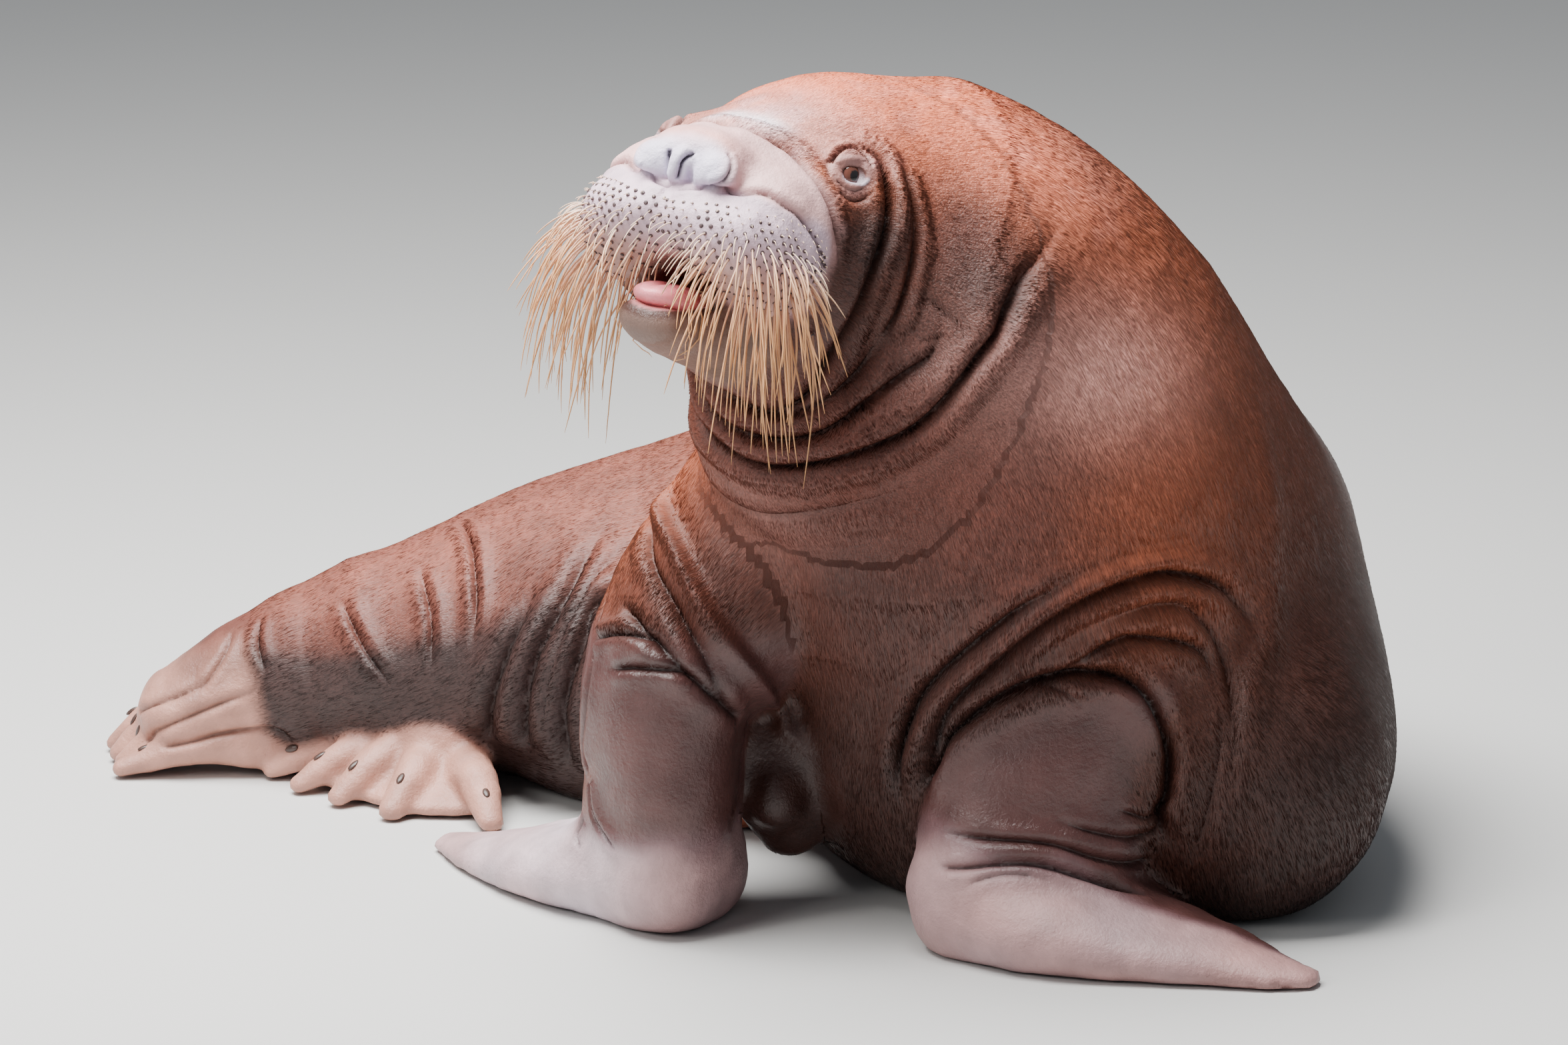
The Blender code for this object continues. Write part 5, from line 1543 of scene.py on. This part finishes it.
    def strands(self, points: Array) -> tuple[Array, Array]:
        """Coordinates that run with the coat, and the way that it lies.

        Args:
            points: N x 3 places on the skin.

        Returns:
            N x 3 coordinates, short along the coat, and N x 3 directions.
        """
        strand, along = TRUNK.backbone().strand(points)
        lie = -along
        head = HEAD.within(points)
        on_head = smooth(-0.14, -0.02, head[:, 0])[:, None]
        back = -HEAD.axes()[:, 0]
        lie = unit(lie * (1 - on_head) + (back + 0.25 * DOWN) * on_head)
        lie = unit(lie + 0.30 * DOWN * (1 - on_head))
        strand = np.where(on_head > 0.5, head[:, [0, 1, 2]] + (5, 0, 0), strand)
        for limb, offset in ((LEFT_ARM, 10), (RIGHT_ARM, 15)):
            value, _ = Field(limb.forms()).measure(points)
            on_arm = value < 0.002
            arm, arm_along = limb.arm_sweep().strand(points)
            strand[on_arm] = arm[on_arm] + (offset, 0, 0)
            lie[on_arm] = arm_along[on_arm]
        return strand * (0.13, 1.0, 1.0), lie


@dataclass
class Coat:
    """Short tufts that lie over the skin where it has fur."""

    skin: Skin
    pieces: int = 7
    tufts: int = 66000
    length: float = 0.0110
    width: float = 0.0014
    seed: int = 5

    def roots(self, draw: np.random.Generator) -> dict[str, Array]:
        """Scatter roots over the furry part of the skin.

        Args:
            draw: the random numbers.

        Returns:
            Place, normal, lie, tint, size and place on the smooth skin of each root.
        """
        mesh = self.skin.obj.data
        mesh.calc_loop_triangles()
        corners = np.empty(len(mesh.loop_triangles) * 3, np.int32)
        mesh.loop_triangles.foreach_get("vertices", corners)
        corners = corners.reshape(-1, 3)
        points = read_points(mesh)
        normals = read_normals(mesh)
        a, b, c = (points[corners[:, k]] for k in range(3))
        area = np.linalg.norm(np.cross(b - a, c - a), axis=1) / 2
        furry = 1 - self.skin.bare[corners].mean(axis=1)
        head = HEAD.within(points[corners].mean(axis=1))
        fine = smooth(-0.40, 0.06, head[:, 0])
        weight = area * smooth(0.10, 0.9, furry) * (1 + 2.6 * fine)
        weight *= smooth(0.006, 0.02, points[corners, 2].mean(axis=1))
        total = self.pieces * self.tufts
        chosen = np.searchsorted(np.cumsum(weight) / weight.sum(), draw.random(total))
        u = np.sqrt(draw.random(total))
        v = draw.random(total)
        share = np.stack([1 - u, u * (1 - v), u * v], axis=1)[:, :, None]
        pick = corners[chosen]

        def mix(values: Array) -> Array:
            return (values[pick] * share).sum(axis=1)

        place = mix(points)
        size = 1 - 0.40 * smooth(-0.40, 0.06, HEAD.within(place)[:, 0])
        size = size * (1 - 0.65 * mix(self.skin.bare[:, None])[:, 0])
        return {"place": place, "normal": unit(mix(normals)), "lie": mix(self.skin.lie),
                "tint": mix(self.skin.tint), "size": size, "base": mix(self.skin.base)}

    def build(self, material: bpy.types.Material) -> None:
        """Make the tufts in pieces of under two hundred thousand triangles."""
        draw = np.random.default_rng(self.seed)
        root = self.roots(draw)
        total = len(root["place"])
        normal = root["normal"]
        lie = unit(root["lie"] - normal * (root["lie"] * normal).sum(axis=1)[:, None])
        side = np.cross(normal, lie)
        drift = 0.08 * lattice_noise(root["place"] * 12, 31) + 0.05 * draw.standard_normal(total)
        lie = unit(lie + side * drift[:, None])
        side = np.cross(normal, lie)
        size = root["size"]
        length = self.length * size * draw.uniform(0.7, 1.3, total)
        width = self.width * size * draw.uniform(0.7, 1.3, total)
        lift = np.radians(draw.uniform(4, 8, total))
        tip = (root["place"] + (lie * np.cos(lift)[:, None] + normal * np.sin(lift)[:, None])
               * length[:, None] - normal * 0.0008)
        start = root["place"] - normal * 0.0010 - lie * (length * 0.1)[:, None]
        ridge = start + normal * (0.0010 + 0.25 * width)[:, None]
        points = np.stack([start + side * width[:, None] / 2, start - side * width[:, None] / 2,
                           ridge, tip], axis=1)
        points[:, :, 2] = np.maximum(points[:, :, 2], 0.0006)
        tone = (root["tint"] * draw.uniform(0.82, 1.25, total)[:, None]
                * (1 + 0.05 * draw.standard_normal((total, 3))))
        tone = np.clip(tone, 0.002, 0.9)
        chart = self.chart(root["base"], normal)
        order = np.argsort(chart[:, 1], kind="stable")
        for number in range(self.pieces):
            chosen = order[number * self.tufts:(number + 1) * self.tufts]
            count = len(chosen)
            first = np.arange(count)[:, None, None] * 4
            faces = (first + np.array([[0, 2, 3], [2, 1, 3], [1, 0, 3]])).reshape(-1, 3)
            mesh = mesh_from_arrays(f"coat_{number + 1}", points[chosen].reshape(-1, 3), faces)
            add_colour(mesh, "Tint", np.repeat(tone[chosen], 4, axis=0))
            self.lay_chart(mesh, chart[chosen])
            finish_piece(new_object(f"coat_{number + 1}", mesh), material,
                         smooth_shaded=False)

    def chart(self, points: Array, normals: Array) -> Array:
        """Places of the roots on a flat chart of the skin.

        The skin is cut in lengths along the spine and in six faces by the way it looks,
        and each such patch has a tile of its own.

        Args:
            points: N x 3 places on the skin.
            normals: N x 3 outward normals.

        Returns:
            N x 2 chart places from 0 to 1.
        """
        place, _, _, _ = TRUNK.backbone().foot(points)
        length = np.minimum((place / 25.01 * 9).astype(int), 8)
        on_head = HEAD.within(points)[:, 0] > -0.06
        length[on_head] = 9
        axis = np.abs(normals).argmax(axis=1)
        way = axis * 2 + (normals[np.arange(len(points)), axis] > 0)
        tile = length * 6 + way
        first, second = (axis + 1) % 3, (axis + 2) % 3
        rows = np.arange(len(points))
        flat = np.stack([points[rows, first], points[rows, second]], axis=1)
        chart = np.zeros((len(points), 2))
        for number in np.unique(tile):
            inside = tile == number
            low = flat[inside].min(axis=0)
            span = max((flat[inside].max(axis=0) - low).max(), 0.01)
            corner = np.array([number % 8, number // 8]) / 8
            chart[inside] = corner + 0.006 + (flat[inside] - low) / span * (0.125 - 0.012)
        return chart

    def lay_chart(self, mesh: bpy.types.Mesh, chart: Array) -> None:
        """Give each tuft a small patch at its root's place on the chart."""
        layer = mesh.uv_layers.new(name="OFBake")
        patch = np.array([[0.0, 0.0], [1.0, 0.0], [0.5, 0.4], [0.5, 1.0]]) * 0.003 - 0.0015
        corners = np.array([0, 2, 3, 2, 1, 3, 1, 0, 3])
        spots = chart[:, None, :] + patch[corners][None]
        layer.data.foreach_set("uv", np.ascontiguousarray(spots, np.float32).ravel())


@dataclass
class Whiskers:
    """Rows of bristles on both whisker pads, each from a dark follicle."""

    surface: Field
    rows: int = 14
    columns: int = 23
    rings: int = 11
    sides: int = 6
    radius: float = 0.00165
    top: float = -0.037
    row_gap: float = 0.0090
    middle: tuple = (0.13, 0.06)
    turn: tuple = (-24.0, 106.0)
    start: float = 0.20
    seed: int = 3

    def roots(self, side: Side, draw: np.random.Generator) -> tuple[Array, Array, Array, Array]:
        """Places of one pad's follicles.

        Args:
            side: which pad.
            draw: the random numbers.

        Returns:
            Places, normals, angle round the pad in degrees, and row number of each one.
        """
        row, column = np.meshgrid(np.arange(self.rows), np.arange(self.columns), indexing="ij")
        row, column = row.ravel(), column.ravel()
        share = (column + 0.5 * (row % 2) + draw.uniform(-0.12, 0.12, len(row))) / self.columns
        turn = self.turn[0] + (self.turn[1] - self.turn[0]) * share
        drop_off = 0.030 * smooth(55, 105, turn) + 0.010 * smooth(15, -20, turn)
        height = self.top - drop_off - self.row_gap * (row + draw.uniform(-0.12, 0.12, len(row)))
        angle = np.radians(turn)
        ray = np.stack([np.cos(angle), np.sin(angle) * side.value, np.zeros(len(row))], axis=1)
        place = np.stack([np.full(len(row), self.middle[0]),
                          np.full(len(row), self.middle[1] * side.value), height], axis=1)
        place = HEAD.place(place + ray * self.start)
        inward = -ray @ HEAD.axes().T
        pad = Field([SKULL.pad(side)])
        for _ in range(24):
            value, _ = pad.measure(place)
            place = place + inward * np.clip(value * 0.8, -0.02, 0.02)[:, None]
        value, normal = self.surface.measure(place)
        keep = np.abs(value) < 0.0045
        place = self.surface.settle(place[keep], 3)
        return place, unit(normal[keep]), turn[keep], row[keep]

    def build(self, material: bpy.types.Material, follicle: bpy.types.Material) -> None:
        """Make each pad's whiskers as one mesh, and the follicles of both as another."""
        spots = []
        for side, name in ((Side.LEFT, "whiskers_left"), (Side.RIGHT, "whiskers_right")):
            draw = np.random.default_rng(self.seed + side.value)
            place, normal, turn, row = self.roots(side, draw)
            spots.append((place, normal))
            count = len(place)
            inner = smooth(35, -15, turn)
            outer = smooth(70, 100, turn)
            begins = 3.6 - 2.6 * inner - 0.8 * outer
            long = 0.095 + 0.085 * smooth(5, 11, row) - 0.070 * inner - 0.050 * outer
            length = 0.007 + long * smooth(begins - 1.2, begins + 3.2, row)
            length = length * draw.uniform(0.78, 1.12, count)
            grown = (row < begins) | (draw.random(count) < 0.94 - 0.20 * inner)
            length = np.where(row < begins - 1, draw.uniform(0.002, 0.008, count), length)
            axes = HEAD.axes()
            heading = unit(normal + 0.22 * DOWN + axes[:, 0] * (0.22 + 0.75 * inner)[:, None]
                           + axes[:, 1] * side.value * (0.30 * outer - 0.20 * inner)[:, None]
                           + 0.07 * draw.standard_normal((count, 3)))
            sway = 0.05 * draw.standard_normal((count, 3))
            path = [place - normal * 0.003, place + normal * 0.001]
            pull = 0.13 - 0.07 * inner + 0.75 * length
            for _ in range(1, self.rings - 1):
                heading = unit(heading + DOWN * pull[:, None] + sway * 0.6)
                path.append(path[-1] + heading * (length / (self.rings - 2))[:, None])
            path = np.stack(path, axis=1)
            for step in range(2, self.rings):
                for _ in range(2):
                    value, away = self.surface.measure(path[:, step])
                    path[:, step] += away * np.maximum(0.003 - value, 0)[:, None]
            self.tubes(name, path[grown], length[grown], draw, material)
        self.follicles(spots, follicle)

    def follicles(self, spots: list[tuple[Array, Array]], material: bpy.types.Material) -> None:
        """Set a small dark dome at the root of each whisker.

        Args:
            spots: places and normals of both pads' roots.
            material: the domes' finish.
        """
        form = bmesh.new()
        for places, normals in spots:
            for place, normal in zip(places, normals):
                turn = Vector((0, 0, 1)).rotation_difference(Vector(normal)).to_matrix().to_4x4()
                matrix = Matrix.Translation(Vector(place)) @ turn @ Matrix.Diagonal((1, 1, 0.34, 1))
                bmesh.ops.create_icosphere(form, subdivisions=2, radius=0.0029, matrix=matrix)
        mesh = bpy.data.meshes.new("follicles")
        form.to_mesh(mesh)
        form.free()
        finish_piece(new_object("follicles", mesh), material)

    def tubes(self, name: str, path: Array, length: Array, draw: np.random.Generator,
              material: bpy.types.Material) -> None:
        """Skin the whiskers' paths.

        Args:
            name: the piece's name.
            path: count x rings x 3 places.
            length: length of each whisker.
            draw: the random numbers.
            material: the whiskers' finish.
        """
        count, rings, _ = path.shape
        along = unit(np.gradient(path, axis=1))
        side = unit(np.cross(along, np.array([0.31, 0.93, 0.17])))
        top = np.cross(side, along)
        t = np.linspace(0, 1, rings)
        thick = self.radius * (1 - 0.62 * t ** 1.3) * np.where(t > 0.999, 0.35, 1.0)
        size = draw.uniform(0.80, 1.12, count) * (0.45 + 0.55 * smooth(0.0, 0.08, length))
        thick = thick[None, :] * size[:, None]
        angle = np.arange(self.sides) / self.sides * 2 * math.pi
        ring = (side[:, :, None] * np.cos(angle)[:, None] + top[:, :, None] * np.sin(angle)[:, None])
        points = path[:, :, None] + ring * thick[:, :, None, None]
        number = np.arange(count * rings * self.sides).reshape(count, rings, self.sides)
        turned = np.roll(number, -1, axis=2)
        faces = np.stack([number[:, :-1], turned[:, :-1], turned[:, 1:], number[:, 1:]], axis=-1)
        mesh = mesh_from_arrays(name, points.reshape(-1, 3), faces.reshape(-1, 4))
        stops = np.array([0.0, 0.12, 0.45, 1.0])
        tones = np.array([[0.42, 0.24, 0.18], [0.76, 0.46, 0.33], [0.72, 0.38, 0.19],
                          [0.66, 0.34, 0.15]])
        tone = np.stack([np.interp(t, stops, tones[:, k]) for k in range(3)], axis=1)
        pale = (0.55 * smooth(0.09, 0.03, length))[:, None, None]
        tone = tone[None] * (1 - pale) + np.array([0.86, 0.74, 0.62]) * pale
        tone = tone * draw.uniform(0.75, 1.15, count)[:, None, None]
        tone = np.repeat(tone[:, :, None], self.sides, axis=2)
        add_colour(mesh, "Tint", np.clip(tone.reshape(-1, 3), 0, 1))
        finish_piece(new_object(name, mesh), material)


@dataclass
class Eyes:
    """Both eyeballs."""

    def build(self, material: bpy.types.Material) -> None:
        """Make each eyeball, with its gaze along its facing."""
        for side, name in ((Side.LEFT, "eye_left"), (Side.RIGHT, "eye_right")):
            socket = SKULL.eye
            form = bmesh.new()
            bmesh.ops.create_uvsphere(form, u_segments=48, v_segments=32, radius=socket.radius * 0.985)
            facing = HEAD.axes() @ socket.axes(side)[2]
            turn = Vector((0, 0, 1)).rotation_difference(Vector(facing)).to_matrix().to_4x4()
            centre = HEAD.place(socket.centre(side))
            bmesh.ops.transform(form, matrix=Matrix.Translation(Vector(centre)) @ turn, verts=form.verts)
            mesh = bpy.data.meshes.new(name + "_ball")
            form.to_mesh(mesh)
            form.free()
            away = unit(read_points(mesh) - centre) @ facing
            add_number(mesh, "Ring", np.degrees(np.arccos(np.clip(away, -1, 1))) / 90)
            finish_piece(new_object(name + "_ball", mesh), material, [name])


@dataclass
class Tongue:
    """Tongue that fills the floor of the open mouth."""

    centre: tuple = (0.190, 0.0, -0.160)
    half: tuple = (0.064, 0.042, 0.020)

    def build(self, material: bpy.types.Material) -> None:
        """Make the tongue, with a groove along its middle."""
        form = bmesh.new()
        bmesh.ops.create_icosphere(form, subdivisions=5, radius=1.0)
        mesh = bpy.data.meshes.new("tongue_body")
        form.to_mesh(mesh)
        form.free()
        points = read_points(mesh)
        groove = np.exp(-(points[:, 1] / 0.16) ** 2) * np.clip(points[:, 2], 0, 1) * 0.22
        shaped = points * self.half
        shaped[:, 2] -= groove * self.half[2]
        write_points(mesh, HEAD.place(shaped + self.centre))
        tip = smooth(-0.2, 1.0, points[:, 0])[:, None]
        tint = np.array([0.58, 0.13, 0.14]) * (1 - tip) + np.array([0.90, 0.28, 0.32]) * tip
        add_colour(mesh, "Tint", tint)
        finish_piece(new_object("tongue_body", mesh), material, ["tongue"])


@dataclass
class Nails:
    """Small nails on the toes."""

    surface: Field
    length: float = 0.020
    width: float = 0.010

    def build(self, material: bpy.types.Material) -> None:
        """Set a nail on the top of each toe, short of its tip."""
        form = bmesh.new()
        for foot in (LEFT_FOOT, RIGHT_FOOT):
            for root, tip in list(zip(foot.toe_roots, foot.toe_tips))[0:5]:
                root, tip = np.array(root), np.array(tip)
                along = unit(tip - root)
                spot = tip - along * 0.030 + (0, 0, 0.03)
                spot = self.surface.settle(spot[None], 6)[0]
                _, normal = self.surface.measure(spot[None])
                normal = unit(normal[0])
                along = unit(along - normal * (along @ normal))
                side = np.cross(normal, along)
                axes = Matrix(np.stack([along, side, normal], axis=1).tolist()).to_4x4()
                size = Matrix.Diagonal((self.length / 2, self.width / 2, 0.003, 1))
                bmesh.ops.create_icosphere(form, subdivisions=3, radius=1.0,
                                           matrix=Matrix.Translation(Vector(spot)) @ axes @ size)
        mesh = bpy.data.meshes.new("nails")
        form.to_mesh(mesh)
        form.free()
        finish_piece(new_object("nails", mesh), material)


@dataclass
class Studio:
    """Floor, soft light and the camera at the photograph's angle."""

    target: tuple = (0.0, 0.0, 0.512)
    elevation: float = 14.0
    distance: float = 9.0
    lens: float = 165.3
    floor_size: float = 60.0

    def build(self) -> None:
        """Set the stage."""
        form = bmesh.new()
        bmesh.ops.create_grid(form, x_segments=2, y_segments=2, size=self.floor_size / 2)
        mesh = bpy.data.meshes.new("floor")
        form.to_mesh(mesh)
        form.free()
        floor = new_object("floor", mesh)
        shader = Shader("floor", 0.75)
        shader.base.inputs["Base Color"].default_value = (0.56, 0.56, 0.55, 1.0)
        floor.data.materials.append(shader.material)
        world = bpy.data.worlds.new("studio")
        bpy.context.scene.world = world
        world.use_nodes = True
        back = world.node_tree.nodes["Background"]
        back.inputs["Color"].default_value = (0.86, 0.92, 1.0, 1.0)
        back.inputs["Strength"].default_value = 0.28
        self.light("sky", (-0.9, -0.2, 3.8), (0.0, 0.1, 0.3), 2.8, 640.0, (1.0, 0.985, 0.97))
        self.light("front", (-3.4, -3.6, 3.2), (0.0, 0.0, 0.6), 2.0, 100.0, (1.0, 0.97, 0.94))
        camera = bpy.data.cameras.new("camera")
        camera.lens = self.lens
        camera.sensor_width = 36.0
        camera.clip_end = 200.0
        seen = bpy.data.objects.new("camera", camera)
        bpy.context.scene.collection.objects.link(seen)
        tilt = math.radians(self.elevation)
        target = np.array(self.target) - ORIGIN
        seen.location = target - self.distance * np.array([0, math.cos(tilt), -math.sin(tilt)])
        seen.rotation_euler = (math.radians(90) - tilt, 0, 0)
        bpy.context.scene.camera = seen

    def light(self, name: str, place: Sequence[float], target: Sequence[float], size: float,
              power: float, colour: Sequence[float]) -> None:
        """Add a soft square light.

        Args:
            name: its name.
            place: where it hangs.
            target: what it looks at.
            size: its side in metres.
            power: its power in watts.
            colour: its colour.
        """
        lamp = bpy.data.lights.new(name, "AREA")
        lamp.size = size
        lamp.energy = power
        lamp.color = colour
        obj = bpy.data.objects.new(name, lamp)
        bpy.context.scene.collection.objects.link(obj)
        obj.location = Vector(place)
        obj.rotation_euler = (Vector(target) - Vector(place)).to_track_quat("-Z", "Y").to_euler()


FLESH = ("head", "neck", "chest", "torso", "hips", "tail", "foreflipper_left", "foreflipper_right",
         "hind_flipper_left", "hind_flipper_right", "lower_jaw", "muzzle_left", "muzzle_right")


def main() -> None:
    """Build every piece and the studio."""
    logging.basicConfig(level=logging.INFO, format="%(message)s")
    skin = Skin()
    skin.build(SkinColours(Palette()))
    Coat(skin).build(CoatFinish().material())
    finish_piece(skin.obj, SkinFinish().material(), FLESH)
    Whiskers(skin.surface).build(BristleFinish().material(), FollicleFinish().material())
    Eyes().build(EyeFinish().material())
    Tongue().build(TongueFinish().material())
    Nails(skin.surface).build(NailFinish().material())
    Studio().build()


if __name__ == "__main__":
    main()
